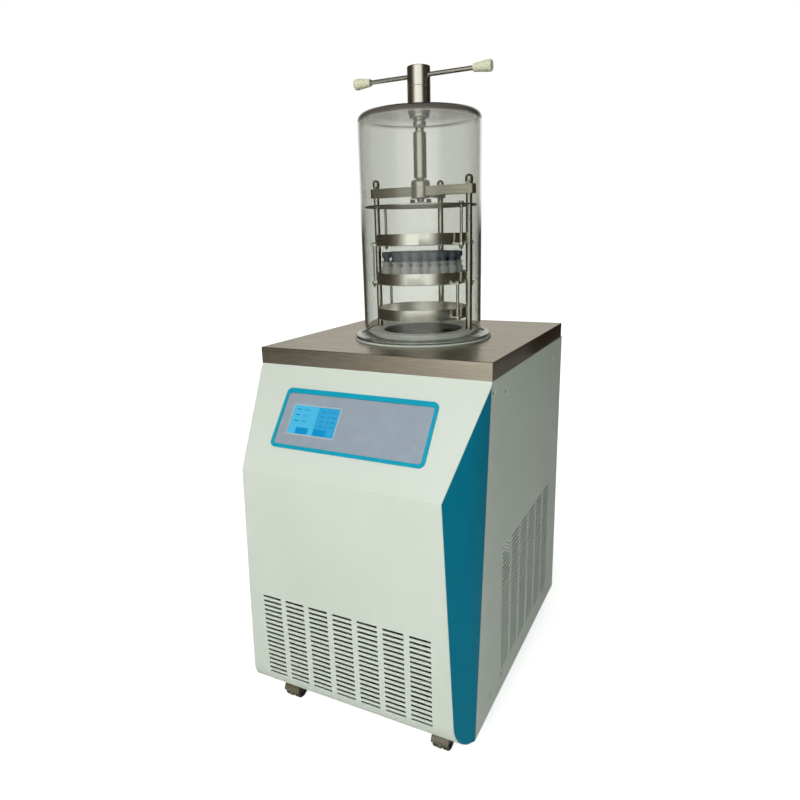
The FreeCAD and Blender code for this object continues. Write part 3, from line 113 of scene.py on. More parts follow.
# Colours of the room that reflections see, by the share of a turn from the object's back
# through its left side, its front and its right side. The rear differs with the height.
ROOM_SIDES = ((0.35, "352E28"), (0.40, "5C574F"), (0.44, "A8A49C"), (0.47, "E8E7E2"),
              (0.535, "E8E7E2"), (0.575, "DAD9D3"), (0.61, "E8E7E2"), (0.64, "C2C0B8"),
              (0.685, "352E28"), (0.94, "1C1612"))
ROOM_LOW = ((0.0, "3A332C"), (0.12, "40382F"), (0.20, "2E2822"), *ROOM_SIDES, (1.0, "3A332C"))
ROOM_HIGH = ((0.0, "C0BFBA"), (0.12, "BEBDB6"), (0.19, "2E2822"), *ROOM_SIDES, (1.0, "C0BFBA"))


# ---------------------------------------------------------------- colour and nodes


def linear(colour):
    """Linear values of an sRGB hex colour."""
    channels = [int(colour[i:i + 2], 16) / 255 for i in (0, 2, 4)]
    return [c / 12.92 if c <= 0.04045 else ((c + 0.055) / 1.055) ** 2.4 for c in channels]


def opaque(rgb):
    """A colour with full alpha."""
    return (*rgb, 1.0)


def tinted(rgb, factor):
    """A colour made lighter or darker."""
    return (*[min(1.0, c * factor) for c in rgb], 1.0)


def add(tree, kind, inputs=None, **settings):
    """Adds a node; each input, by name or number, takes a value or a socket to link."""
    node = tree.nodes.new(kind)
    for name, value in settings.items():
        setattr(node, name, value)
    for key, value in (inputs or {}).items():
        if isinstance(value, bpy.types.NodeSocket):
            tree.links.new(value, node.inputs[key])
        else:
            node.inputs[key].default_value = value
    return node


def bare(name):
    """A material without nodes; returns the material and its tree."""
    stuff = bpy.data.materials.new(name)
    stuff.use_nodes = True
    stuff.node_tree.nodes.clear()
    return stuff, stuff.node_tree


def surface(name, **sockets):
    """A material whose only shader is a Principled one; returns material, tree and shader."""
    stuff, tree = bare(name)
    values = {key.replace("_", " "): value for key, value in sockets.items()}
    shader = add(tree, "ShaderNodeBsdfPrincipled", values)
    add(tree, "ShaderNodeOutputMaterial", {"Surface": shader.outputs[0]})
    return stuff, tree, shader


def grain(tree, size, stretch=(1, 1, 1), detail=2.0):
    """Noise on object coordinates whose features are size metres across, times stretch."""
    place = add(tree, "ShaderNodeTexCoord").outputs["Object"]
    scale = [1 / (size * factor) for factor in stretch]
    mapped = add(tree, "ShaderNodeMapping", {"Vector": place, "Scale": scale})
    noise = {"Vector": mapped.outputs[0], "Scale": 1.0, "Detail": detail}
    return add(tree, "ShaderNodeTexNoise", noise).outputs["Fac"]


def vary(tree, shader, pattern, gloss, below, above):
    """Lets a pattern spread the shader's roughness below and above its usual value."""
    spread = {"Value": pattern, "From Min": 0.3, "From Max": 0.7, "To Min": gloss - below,
              "To Max": gloss + above}
    roughness = add(tree, "ShaderNodeMapRange", spread).outputs[0]
    tree.links.new(roughness, shader.inputs["Roughness"])


def shade(tree, shader, pattern, rgb, darker, lighter):
    """Lets a pattern blend the shader's base colour between two tints of a colour."""
    ramp = add(tree, "ShaderNodeMapRange", {"Value": pattern, "From Min": 0.3, "From Max": 0.7})
    ends = {0: ramp.outputs[0], 6: tinted(rgb, darker), 7: tinted(rgb, lighter)}
    mix = add(tree, "ShaderNodeMix", ends, data_type="RGBA")
    tree.links.new(mix.outputs[2], shader.inputs["Base Color"])


def relief(tree, shader, pattern, depth, strength=1.0, edge=0.0):
    """Raises a pattern by a depth in metres, over edges rounded to a radius."""
    bump = {"Height": pattern, "Distance": depth, "Strength": strength}
    if edge:
        bump["Normal"] = add(tree, "ShaderNodeBevel", {"Radius": edge}, samples=4).outputs[0]
    tree.links.new(add(tree, "ShaderNodeBump", bump).outputs[0], shader.inputs["Normal"])


# ---------------------------------------------------------------- materials


def powder_coat(name, rgb, gloss=0.40, sheen=0.5):
    """Powder coat on sheet steel: satin, with a faint orange peel and soft folded edges."""
    stuff, tree, shader = surface(name, Roughness=gloss, IOR=1.5, Specular_IOR_Level=sheen)
    shade(tree, shader, grain(tree, 0.16), rgb, 0.975, 1.02)
    peel = grain(tree, 1.6 * MM, detail=1.0)
    vary(tree, shader, grain(tree, 0.03), gloss, 0.03, 0.04)
    relief(tree, shader, peel, 0.02 * MM, 0.5, edge=0.9 * MM)
    return stuff


def brushed_steel(name, rgb, along=0, gloss=0.34):
    """Grained stainless sheet: long fine scratches along one axis that smear reflections."""
    stuff, tree, shader = surface(name, Metallic=1.0, Roughness=gloss, Anisotropic=0.75,
                                  Anisotropic_Rotation=0.25)
    direction = [0.0, 0.0, 0.0]
    direction[along] = 1.0
    tangent = add(tree, "ShaderNodeCombineXYZ", {i: direction[i] for i in range(3)})
    tree.links.new(tangent.outputs[0], shader.inputs["Tangent"])
    stretch = [1.0, 1.0, 1.0]
    stretch[along] = 90.0
    # Real scratches are some 0.1 mm wide; they are drawn 0.7 mm wide so that they show.
    scratches = grain(tree, 0.7 * MM, stretch, detail=3.0)
    shade(tree, shader, scratches, rgb, 0.86, 1.12)
    vary(tree, shader, grain(tree, 1.5 * MM, stretch), gloss, 0.06, 0.08)
    relief(tree, shader, scratches, 0.01 * MM, 0.4, edge=0.8 * MM)
    return stuff


def about_axis(tree, centre):
    """Distance from a vertical axis, and height, on object coordinates."""
    place = add(tree, "ShaderNodeTexCoord").outputs["Object"]
    offset = (-centre.x, -centre.y, 0.0)
    moved = add(tree, "ShaderNodeVectorMath", {0: place, 1: offset}, operation="ADD")
    split = add(tree, "ShaderNodeSeparateXYZ", {0: moved.outputs[0]})
    flat = add(tree, "ShaderNodeCombineXYZ", {0: split.outputs[0], 1: split.outputs[1]})
    radius = add(tree, "ShaderNodeVectorMath", {0: flat.outputs[0]}, operation="LENGTH")
    return radius.outputs["Value"], split.outputs[2]


def rings(tree, centre, pitch):
    """Noise in rings about a vertical axis and along it, as a lathe tool leaves."""
    radius, height = about_axis(tree, centre)
    line = add(tree, "ShaderNodeCombineXYZ", {0: radius, 1: height})
    noise = {"Vector": line.outputs[0], "Scale": 1 / pitch, "Detail": 2.0}
    return add(tree, "ShaderNodeTexNoise", noise).outputs["Fac"]


def turned_steel(name, rgb, centre, gloss=0.24):
    """Stainless turned on a lathe: fine rings round the axis."""
    stuff, tree, shader = surface(name, Metallic=1.0, Roughness=gloss, Anisotropic=0.5,
                                  Anisotropic_Rotation=0.25)
    tangent = add(tree, "ShaderNodeTangent", direction_type="RADIAL", axis="Z")
    tree.links.new(tangent.outputs[0], shader.inputs["Tangent"])
    # Tool marks are about 0.1 mm apart; they are drawn 0.6 mm apart so that they show.
    marks = rings(tree, centre, 0.6 * MM)
    shade(tree, shader, marks, rgb, 0.95, 1.04)
    vary(tree, shader, marks, gloss, 0.02, 0.03)
    relief(tree, shader, marks, 0.004 * MM, 0.2, edge=0.5 * MM)
    return stuff


def blasted_metal(name, rgb, gloss=0.42):
    """Bead-blasted metal: its fine pits scatter light much as a matt surface does."""
    stuff, tree, shader = surface(name, Metallic=0.1, Roughness=gloss)
    shade(tree, shader, grain(tree, 6 * MM, detail=3.0), rgb, 0.96, 1.02)
    pits = grain(tree, 0.7 * MM, detail=1.0)
    vary(tree, shader, pits, gloss, 0.04, 0.06)
    relief(tree, shader, pits, 0.01 * MM, 0.4, edge=0.5 * MM)
    return stuff


def polished_steel(name, rgb, gloss=0.12):
    """Polished stainless bar: bright, with faint wipe marks."""
    stuff, tree, shader = surface(name, Metallic=1.0, Roughness=gloss)
    haze = grain(tree, 8 * MM, (1, 1, 3), detail=3.0)
    shade(tree, shader, haze, rgb, 0.94, 1.04)
    vary(tree, shader, haze, gloss, 0.03, 0.07)
    relief(tree, shader, grain(tree, 0.5 * MM), 0.004 * MM, 0.3, edge=0.4 * MM)
    return stuff


def plated_steel(name, rgb, gloss=0.28):
    """Zinc-plated steel: pale metal with a patchy passivated haze."""
    stuff, tree, shader = surface(name, Metallic=1.0, Roughness=gloss)
    patches = grain(tree, 2.5 * MM, detail=3.0)
    shade(tree, shader, patches, rgb, 0.88, 1.05)
    vary(tree, shader, patches, gloss, 0.05, 0.12)
    return stuff


def moulded_plastic(name, rgb, gloss=0.35, texture=0.5 * MM, depth=0.02 * MM, coat=0.0,
                    sheen=0.5, edge=0.5 * MM):
    """Injection-moulded plastic: even colour, a fine spark-eroded grain and soft edges."""
    stuff, tree, shader = surface(name, Roughness=gloss, IOR=1.53, Coat_Weight=coat,
                                  Specular_IOR_Level=sheen)
    shade(tree, shader, grain(tree, 25 * MM), rgb, 0.95, 1.04)
    vary(tree, shader, grain(tree, 6 * MM), gloss, 0.04, 0.05)
    relief(tree, shader, grain(tree, texture, detail=1.0), depth, 0.6, edge)
    return stuff


def rubber(name, rgb, gloss=0.62):
    """Moulded rubber: matt, a little dusty, with a slightly uneven skin."""
    stuff, tree, shader = surface(name, Roughness=gloss, IOR=1.52)
    shade(tree, shader, grain(tree, 9 * MM, detail=4.0), rgb, 0.88, 1.1)
    vary(tree, shader, grain(tree, 3 * MM), gloss, 0.06, 0.08)
    relief(tree, shader, grain(tree, 0.8 * MM), 0.04 * MM, 0.6, edge=0.4 * MM)
    return stuff


def foam(name, rgb):
    """Closed-cell foam: dull and finely pitted."""
    stuff, tree, shader = surface(name, Roughness=0.9)
    cells = grain(tree, 2.2 * MM, detail=3.0)
    shade(tree, shader, cells, rgb, 0.7, 1.3)
    relief(tree, shader, cells, 0.4 * MM, 0.8)
    return stuff


def copper(name, rgb):
    """Drawn copper tube: warm metal, browned in patches by brazing heat and handling."""
    stuff, tree, shader = surface(name, Metallic=1.0, Roughness=0.3)
    stains = grain(tree, 18 * MM, detail=4.0)
    shade(tree, shader, stains, rgb, 0.62, 1.05)
    vary(tree, shader, stains, 0.3, 0.06, 0.16)
    return stuff


def clear_sheet(name, rgb, index, gloss=0.0):
    """Clear acrylic or glass that lets the light through to what it covers."""
    stuff, tree, shader = surface(name, Base_Color=opaque(rgb), Roughness=gloss, IOR=index,
                                  Transmission_Weight=1.0)
    relief(tree, shader, grain(tree, 0.05, (1, 1, 2), detail=1.0), 0.12 * MM, 0.25)
    # Light passes straight through, so that what is inside isn't left in the dark.
    rays = add(tree, "ShaderNodeLightPath").outputs
    deep = add(tree, "ShaderNodeMath", {0: rays["Ray Depth"], 1: 6.5}, operation="GREATER_THAN")
    either = add(tree, "ShaderNodeMath", {0: rays["Is Shadow Ray"], 1: deep.outputs[0]},
                 operation="MAXIMUM")
    passing = add(tree, "ShaderNodeBsdfTransparent", {"Color": opaque([c ** 0.2 for c in rgb])})
    blend = {0: either.outputs[0], 1: shader.outputs[0], 2: passing.outputs[0]}
    mix = add(tree, "ShaderNodeMixShader", blend)
    output = next(node for node in tree.nodes if node.type == "OUTPUT_MATERIAL")
    tree.links.new(mix.outputs[0], output.inputs["Surface"])
    return stuff


def vial_glass(name, rgb):
    """Thin tubular glass: a pale film with bright edges, see-through face on."""
    stuff, tree, shader = surface(name, Base_Color=opaque(rgb), Roughness=0.06, IOR=1.5)
    edge = add(tree, "ShaderNodeLayerWeight", {"Blend": 0.35})
    cover = {"Value": edge.outputs["Facing"], "To Min": 0.36, "To Max": 0.85}
    alpha = add(tree, "ShaderNodeMapRange", cover)
    tree.links.new(alpha.outputs[0], shader.inputs["Alpha"])
    return stuff


def lit_display(name, rgb, glow=0.75):
    """Backlit display layer: mostly its own light, under a smooth cover."""
    stuff, tree, shader = surface(name, Base_Color=tinted(rgb, 0.35), Roughness=0.22, IOR=1.5,
                                  Emission_Color=opaque(rgb), Emission_Strength=glow)
    uneven = grain(tree, 60 * MM, detail=1.0)
    ends = {0: uneven, 6: tinted(rgb, 0.93), 7: tinted(rgb, 1.06)}
    mix = add(tree, "ShaderNodeMix", ends, data_type="RGBA")
    tree.links.new(mix.outputs[2], shader.inputs["Emission Color"])
    return stuff


# ---------------------------------------------------------------- geometry


def link(name, mesh):
    """Puts a mesh in the scene as a piece."""
    piece = bpy.data.objects.new(name, mesh)
    bpy.context.scene.collection.objects.link(piece)
    return piece


def written(work, mesh, sharp=SHARP):
    """Writes mesh-edit data into a mesh that is smooth between its sharp edges."""
    work.to_mesh(mesh)
    work.free()
    mesh.shade_smooth()
    mesh.set_sharp_from_angle(angle=math.radians(sharp))
    return mesh


def mesh_from(name, work, sharp=SHARP):
    """Turns mesh-edit data into a merged mesh with outward faces."""
    bmesh.ops.remove_doubles(work, verts=work.verts, dist=MERGE)
    bmesh.ops.recalc_face_normals(work, faces=work.faces)
    return written(work, bpy.data.meshes.new(name), sharp)


def evaluated_mesh(piece):
    """The mesh that a piece's modifiers or letters come out as."""
    bpy.context.view_layer.update()
    evaluated = piece.evaluated_get(bpy.context.evaluated_depsgraph_get())
    return bpy.data.meshes.new_from_object(evaluated)


def settle(piece, node, stuff, *replaced):
    """Gives a piece its material and joins it to the body that holds a CAD node."""
    piece.data.materials.clear()
    piece.data.materials.append(stuff)
    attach(piece, nodes[node]["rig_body"])
    if replaced:
        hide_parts(*replaced)
    return piece


def rounded(node, stuff):
    """Stands a merged, smoothly shaded copy in for a CAD node."""
    mesh = nodes[node].data.copy()
    if "custom_normal" in mesh.attributes:
        mesh.attributes.remove(mesh.attributes["custom_normal"])
    work = bmesh.new()
    work.from_mesh(mesh)
    bmesh.ops.remove_doubles(work, verts=work.verts, dist=MERGE)
    return settle(link(node + "_finished", written(work, mesh)), node, stuff, node)


def foot_reach(across, down):
    """Distance from the wide bend's centre to a panel's sharper foot, along a direction."""
    offset = WIDE_BEND - SHARP_BEND
    front, bottom = WIDE_BEND / max(across, TINY), WIDE_BEND / max(down, TINY)
    if front * down <= offset:
        return front
    if bottom * across <= offset:
        return bottom
    towards = offset * (across + down)
    return towards + math.sqrt(towards ** 2 - 2 * offset ** 2 + SHARP_BEND ** 2)


def fold_foot(piece):
    """Draws a panel's lower front corner back to the wide bend of the folded sheet.

    Points near the bevel's plane slide along it, as far as the cabinet's side.
    """
    slack, bevel_depth = 0.3 * MM, 4 * MM
    cover_low, cover_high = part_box("front_cover")
    axle_y = cover_low.y + NOSE_BEYOND_FOOT + WIDE_BEND
    axle_z = cover_low.z + WIDE_BEND
    bevel = nodes["right_accent_panel"].data
    normal = max(bevel.polygons, key=lambda f: f.area).normal.copy()
    normal *= math.copysign(1, normal.x)
    level = max(normal.dot(vert.co) for vert in bevel.vertices)
    work = bmesh.new()
    work.from_mesh(piece.data)
    for step in range(BEND_STEPS):
        away = math.tan(math.radians(45) * step / (BEND_STEPS - 1)) * WIDE_BEND
        for centre, facing in (((0, 0, axle_z - away), (0, 0, 1)),
                               ((0, axle_y - away, 0), (0, 1, 0))):
            parts = work.verts[:] + work.edges[:] + work.faces[:]
            bmesh.ops.bisect_plane(work, geom=parts, plane_co=centre, plane_no=facing,
                                   dist=10 * MERGE)
    for vert in work.verts:
        back, up = axle_y - vert.co.y, axle_z - vert.co.z
        if back <= 0 or up <= 0:
            continue
        length = math.hypot(back, up)
        share = WIDE_BEND / foot_reach(back / length, up / length)
        moved = Vector((0, back * (1 - share), up * (1 - share)))
        depth = level - normal.dot(Vector((abs(vert.co.x), vert.co.y, vert.co.z)))
        if -slack < depth < bevel_depth:
            out = -normal.dot(moved) / normal.x
            room = cover_high.x - max(depth, 0) / normal.x - abs(vert.co.x)
            moved.x = min(out, max(room, 0)) * math.copysign(1, vert.co.x)
        vert.co += moved
    written(work, piece.data)


def turned(name, profile, axis=Matrix.Identity(4), segments=48):
    """Mesh turned about local Z from a profile of radius and height, then placed by axis."""
    work = bmesh.new()
    loops = []
    for step in range(segments):
        angle = 2 * math.pi * step / segments
        across, along = math.cos(angle), math.sin(angle)
        loops.append([work.verts.new(axis @ Vector((r * across, r * along, z)))
                      for r, z in profile])
    count = len(profile)
    on_axis = [radius < TINY for radius, height in profile]
    for step in range(segments):
        here, there = loops[step], loops[(step + 1) % segments]
        for i in range(count):
            j = (i + 1) % count
            if on_axis[i] and on_axis[j]:
                continue
            corners = [here[i], there[i], there[j], here[j]]
            if on_axis[i]:
                corners = [here[i], there[j], here[j]]
            elif on_axis[j]:
                corners = [here[i], there[i], here[j]]
            work.faces.new(corners)
    return mesh_from(name, work)


def stacked(name, work, loops, sharp=SHARP):
    """Closed mesh through loops of points, from the lowest to the highest."""
    count = len(loops[0])
    for lower, upper in zip(loops, loops[1:]):
        for i in range(count):
            j = (i + 1) % count
            work.faces.new([lower[i], lower[j], upper[j], upper[i]])
    work.faces.new(list(reversed(loops[0])))
    work.faces.new(loops[-1])
    return mesh_from(name, work, sharp)


def curved(corners, steps=10):
    """Profile through corners of radius, height and rounding, each rounded by an arc."""
    points = []
    count = len(corners)
    for i, (r, z, rounding) in enumerate(corners):
        here = Vector((r, z))
        if not rounding:
            points.append((r, z))
            continue
        before = (Vector(corners[i - 1][:2]) - here).normalized()
        after = (Vector(corners[(i + 1) % count][:2]) - here).normalized()
        half = before.angle(after) / 2
        centre = here + (before + after).normalized() * (rounding / math.sin(half))
        start = here + before * (rounding / math.tan(half)) - centre
        end = here + after * (rounding / math.tan(half)) - centre
        for step in range(steps + 1):
            spoke = start.lerp(end, step / steps).normalized() * rounding
            points.append(tuple(centre + spoke))
    return points


def plate(name, width, height, low, high, corner, at=(0, 0), axis=Matrix.Identity(4), edge=0.0):
    """Rounded rectangle between two heights in a local frame, its upper edge eased."""
    work = bmesh.new()
    outline = []
    steps = 6 if corner else 0          # edges that each corner is rounded by
    for quarter, (sx, sy) in enumerate(((1, 1), (-1, 1), (-1, -1), (1, -1))):
        middle = (at[0] + sx * (width / 2 - corner), at[1] + sy * (height / 2 - corner))
        for step in range(steps + 1):
            angle = (quarter + step / 6) * math.pi / 2
            outline.append((middle[0] + corner * math.cos(angle),
                            middle[1] + corner * math.sin(angle)))
    levels = [(low, 0.0), (high - edge, 0.0)] + ([(high, edge)] if edge else [])
    loops = []
    for level, inset in levels:
        sx, sy = (1 - 2 * inset / width, 1 - 2 * inset / height)
        loops.append([work.verts.new(axis @ Vector((at[0] + (x - at[0]) * sx,
                                                    at[1] + (y - at[1]) * sy, level)))
                      for x, y in outline])
    return stacked(name, work, loops)


def joined(name, meshes):
    """One mesh from several."""
    work = bmesh.new()
    for mesh in meshes:
        work.from_mesh(mesh)
        bpy.data.meshes.remove(mesh)
    return written(work, bpy.data.meshes.new(name))


def solids(node):
    """Lowest and highest corner of each separate solid of a CAD node."""
    work = bmesh.new()
    work.from_mesh(nodes[node].data)
    bmesh.ops.remove_doubles(work, verts=work.verts, dist=MERGE)
    seen = set()
    found = []
    for start in work.verts:
        if start in seen:
            continue
        group, queue = [], [start]
        seen.add(start)
        while queue:
            vert = queue.pop()
            group.append(vert.co)
            for edge in vert.link_edges:
                other = edge.other_vert(vert)
                if other not in seen:
                    seen.add(other)
                    queue.append(other)
        points = np.array(group)
        found.append((Vector(points.min(0)), Vector(points.max(0))))
    work.free()
    return found


def broad_side(node):
    """Frame of a node's broadest flat side: X level, Y up, Z out of it, origin on it."""
    mesh = nodes[node].data
    area = {}
    for face in mesh.polygons:
        key = tuple(round(c, 3) for c in face.normal)
        area[key] = area.get(key, 0) + face.area
    out = Vector(max(area, key=lambda key: (round(area[key], 7), key[2])))
    out = (out if out.z > 0 else -out).normalized()
    right = Vector((0, 0, 1)).cross(out).normalized()
    up = out.cross(right)
    turn = Matrix((right, up, out)).transposed()
    local = np.array([turn.transposed() @ vert.co for vert in mesh.vertices])
    low, high = local.min(0), local.max(0)
    middle = Vector(((low[0] + high[0]) / 2, (low[1] + high[1]) / 2, high[2]))
    return Matrix.Translation(turn @ middle) @ turn.to_4x4(), high - low


def instanced(name, prototype, places, facing=None):
    """Copies of a prototype mesh at places, made by a Geometry Nodes tree, as one mesh."""
    tree = bpy.data.node_groups.new(name + "_layout", "GeometryNodeTree")
    sockets = tree.interface
    sockets.new_socket("Geometry", in_out="INPUT", socket_type="NodeSocketGeometry")
    sockets.new_socket("Piece", in_out="INPUT", socket_type="NodeSocketObject")
    sockets.new_socket("Finish", in_out="INPUT", socket_type="NodeSocketMaterial")
    sockets.new_socket("Size", in_out="INPUT", socket_type="NodeSocketFloat")
    sockets.new_socket("Geometry", in_out="OUTPUT", socket_type="NodeSocketGeometry")
    given = add(tree, "NodeGroupInput").outputs
    shape = add(tree, "GeometryNodeObjectInfo", {"Object": given["Piece"]})
    along = add(tree, "GeometryNodeInputNamedAttribute", {"Name": "facing"},
                data_type="FLOAT_VECTOR")
    turn = add(tree, "FunctionNodeAlignRotationToVector", {"Vector": along.outputs[0]}, axis="Z")
    copies = add(tree, "GeometryNodeInstanceOnPoints", {
        "Points": given["Geometry"], "Instance": shape.outputs["Geometry"],
        "Rotation": turn.outputs[0], "Scale": given["Size"]})
    real = add(tree, "GeometryNodeRealizeInstances", {"Geometry": copies.outputs[0]})
    finished = add(tree, "GeometryNodeSetMaterial", {"Geometry": real.outputs[0],
                                                     "Material": given["Finish"]})
    add(tree, "NodeGroupOutput", {"Geometry": finished.outputs[0]})
    points = bpy.data.meshes.new(name + "_places")
    points.from_pydata([tuple(place) for place in places], [], [])
    directions = points.attributes.new("facing", "FLOAT_VECTOR", "POINT")
    for i, direction in enumerate(facing or [(0, 0, 1)] * len(places)):
        directions.data[i].vector = direction
    carrier = link(name, points)
    pattern = link(name + "_pattern", prototype)
    modifier = carrier.modifiers.new("layout", "NODES")
    modifier.node_group = tree
    inputs = {"Piece": pattern, "Finish": prototype.materials[0], "Size": 1.0}
    for socket in tree.interface.items_tree:
        if socket.in_out == "INPUT" and socket.name in inputs:
            modifier[socket.identifier] = inputs[socket.name]
    mesh = evaluated_mesh(carrier)
    mesh.name = name
    bpy.data.objects.remove(pattern)
    bpy.data.objects.remove(carrier)
    bpy.data.node_groups.remove(tree)
    return link(name, mesh)


# ---------------------------------------------------------------- settings


def colour_setting(name, colour, description):
    """A colour that a user can change, from its sRGB hex value."""
    return FloatVectorProperty(name=name, description=description, subtype="COLOR", size=3,
                               min=0.0, max=1.0, default=linear(colour))


def length_setting(name, value, description):
    """A length in metres that a user can change."""
    return FloatProperty(name=name, description=description, default=value, min=0.0,
                         subtype="DISTANCE", unit="LENGTH", precision=5)


class CabinetSettings(bpy.types.PropertyGroup):
    """Finishes of the sheet-metal cabinet."""
    paint: colour_setting("Paint", "D9DFD6", "Powder coat of the cover and the panels")
    accent: colour_setting("Accent", "0083A2", "Teal coat of the two bevel panels")
    frame_paint: colour_setting("Frame paint", "B4B8B6", "Coat of the frame and the base pan")
    top_metal: colour_setting("Worktop metal", "A79F91", "Grained stainless of the worktop")
    recess_width: length_setting("Recess width", 1.1 * MM, "Width of a screw's cross recess")


class PanelSettings(bpy.types.PropertyGroup):
    """Sizes and colours of the control panel and its display."""
    bezel: colour_setting("Bezel", "0A9FBE", "Moulded rim of the control panel")
    fascia: colour_setting("Fascia", "98A2B0", "Printed overlay of the control panel")
    border: colour_setting("Display border", "B4BEC6", "Moulded border round the display")
    background: colour_setting("Display", "4CBDE8", "Lit background of the display")
    field: colour_setting("Display field", "2FA6DA", "Deeper field at the display's right")
    button: colour_setting("Buttons", "0A92CE", "Two buttons at the display's foot")
    reading: colour_setting("Readings", "2A7FB6", "Figures and bars on the display")
    glow: FloatProperty(name="Glow", description="Strength of the display's own light",
                        default=0.62, min=0.0)
    digit_height: length_setting("Digit height", 5.6 * MM, "Height of the display's figures")


class ChamberSettings(bpy.types.PropertyGroup):
    """Finishes of the chamber, its handle and its rack."""
    acrylic: colour_setting("Acrylic", "E2E4DF", "Tint of the clear chamber cover")
    # The shoulder's tone is painted shade for the dark band that the thick rounding shows.
    shoulder: colour_setting("Shoulder", "38291E", "Tone of the cover's thick shoulder")
    seal: colour_setting("Seal", "C3C6C0", "Rubber ring under the chamber cover")
    steel: colour_setting("Steel", "C9C9C2", "Turned and grained stainless of the rack")
    tray: colour_setting("Trays", "F2F2EE", "Bright spun stainless of the trays")
    knob: colour_setting("Knobs", "DEDDC0", "Ivory knobs of the T-handle")
    stopper: colour_setting("Stoppers", "596572", "Slate-grey rubber stoppers")
    glass: colour_setting("Vials", "D8D9D8", "Glass of the vials")
    thread_pitch: length_setting("Thread pitch", 4.0 * MM, "Distance between the screw's ridges")
    thread_depth: length_setting("Thread depth", 1.4 * MM, "Depth of the screw's thread")
    spindle_radius: length_setting("Spindle radius", 14.0 * MM, "Radius of the spindle's tube")
    tube_radius: length_setting("Tube radius", 130.5 * MM, "Outer radius of the acrylic tube")
    tube_wall: length_setting("Tube wall", 5.0 * MM, "Thickness of the acrylic tube")


class MachineSettings(bpy.types.PropertyGroup):
    """Finishes of the machinery inside and behind the cabinet."""
    copper: colour_setting("Copper", "C98A62", "Refrigerant lines, coil and drier")
    enamel: colour_setting("Enamel", "17181A", "Black enamel of the compressor")
    board: colour_setting("Board", "1E5B38", "Solder mask of the control board")
    lever: colour_setting("Lever", "B3211B", "Enamel of the drain valve's lever")
    fins_between: IntProperty(name="Fins between", description="Fine fins in each gap",
                              default=4, min=0)


class CasterSettings(bpy.types.PropertyGroup):
    """Finishes of the casters."""
    hood: colour_setting("Hood", "635B46", "Nylon hood of a caster")
    wheel: colour_setting("Wheel", "3B372B", "Nylon wheels of a caster")


class StageSettings(bpy.types.PropertyGroup):
    """Floor and lamps."""
    floor: colour_setting("Floor", "F2F2F0", "Pale studio floor")
    key_power: FloatProperty(name="Key power", description="Large lamp at the front left",
                             default=65.0, min=0.0, unit="POWER")
    side_power: FloatProperty(name="Side power", description="Lamp at the front right",
                              default=11.0, min=0.0, unit="POWER")
    top_power: FloatProperty(name="Top power", description="Large lamp overhead", default=16.0,
                             min=0.0, unit="POWER")
    ambient: FloatProperty(name="Ambient", description="Light from all round", default=0.165,
                           min=0.0)


def settings():
    """All the settings of the scene."""
    return bpy.context.scene.freeze_dryer


class DryerSettings(bpy.types.PropertyGroup):
    """Every group of settings."""
    cabinet: PointerProperty(type=CabinetSettings)
    panel: PointerProperty(type=PanelSettings)
    chamber: PointerProperty(type=ChamberSettings)
    machine: PointerProperty(type=MachineSettings)
    casters: PointerProperty(type=CasterSettings)
    stage: PointerProperty(type=StageSettings)


# ---------------------------------------------------------------- cabinet


class DRYER_OT_sheet_metal(bpy.types.Operator):
    """Coats the front cover, the panels, the frame and the base pan"""
    bl_idname = "dryer.sheet_metal"
    bl_label = "Sheet metal"

    def execute(self, context):
        looks = settings()
        paint = powder_coat("powder_coated_steel", looks.cabinet.paint)
        inner = powder_coat("powder_coated_frame", looks.cabinet.frame_paint, 0.5)
        for node in ("left_side_panel", "right_side_panel", "rear_panel"):
            rounded(node, paint)
        fold_foot(rounded("front_cover", paint))
        for node in ("cabinet_frame", "base_pan"):
            rounded(node, inner)
        return {"FINISHED"}


class DRYER_OT_accent_panels(bpy.types.Operator):
    """Coats the two teal bevel panels and folds their foot"""
    bl_idname = "dryer.accent_panels"
    bl_label = "Accent panels"

    def execute(self, context):
        looks = settings()
        teal = powder_coat("teal_powder_coat", looks.cabinet.accent, 0.38, 0.05)
        for side in ("left", "right"):
            fold_foot(rounded(side + "_accent_panel", teal))
        return {"FINISHED"}


def screw_head(recess):
    """Pan head with a cross recess, its seat at the origin, facing local Z."""
    radius, height = 4.45 * MM, 2.15 * MM
    profile = [(0, 0), (radius, 0), (radius, 0.7 * MM), (radius * 0.93, 1.3 * MM),
               (radius * 0.75, 1.8 * MM), (radius * 0.45, 2.08 * MM), (0, height)]
    head = turned("screw_head", profile, segments=24)
    blades = []
    for turn in (0, 90):
        spin = Matrix.Rotation(math.radians(turn), 4, "Z")
        blades.append(plate("blade", 4.6 * MM, recess, 0.9 * MM, 3 * MM, 0.3 * MM, axis=spin))
    cutter = link("recess_cutter", joined("recess_cutter", blades))
    body = link("screw_head_cut", head)
    cut = body.modifiers.new("recess", "BOOLEAN")
    cut.object = cutter
    cut.use_self = True
    cut.solver = "EXACT"
    mesh = evaluated_mesh(body)
    bpy.data.objects.remove(body)
    bpy.data.objects.remove(cutter)
    mesh.set_sharp_from_angle(angle=math.radians(SHARP))
    return mesh


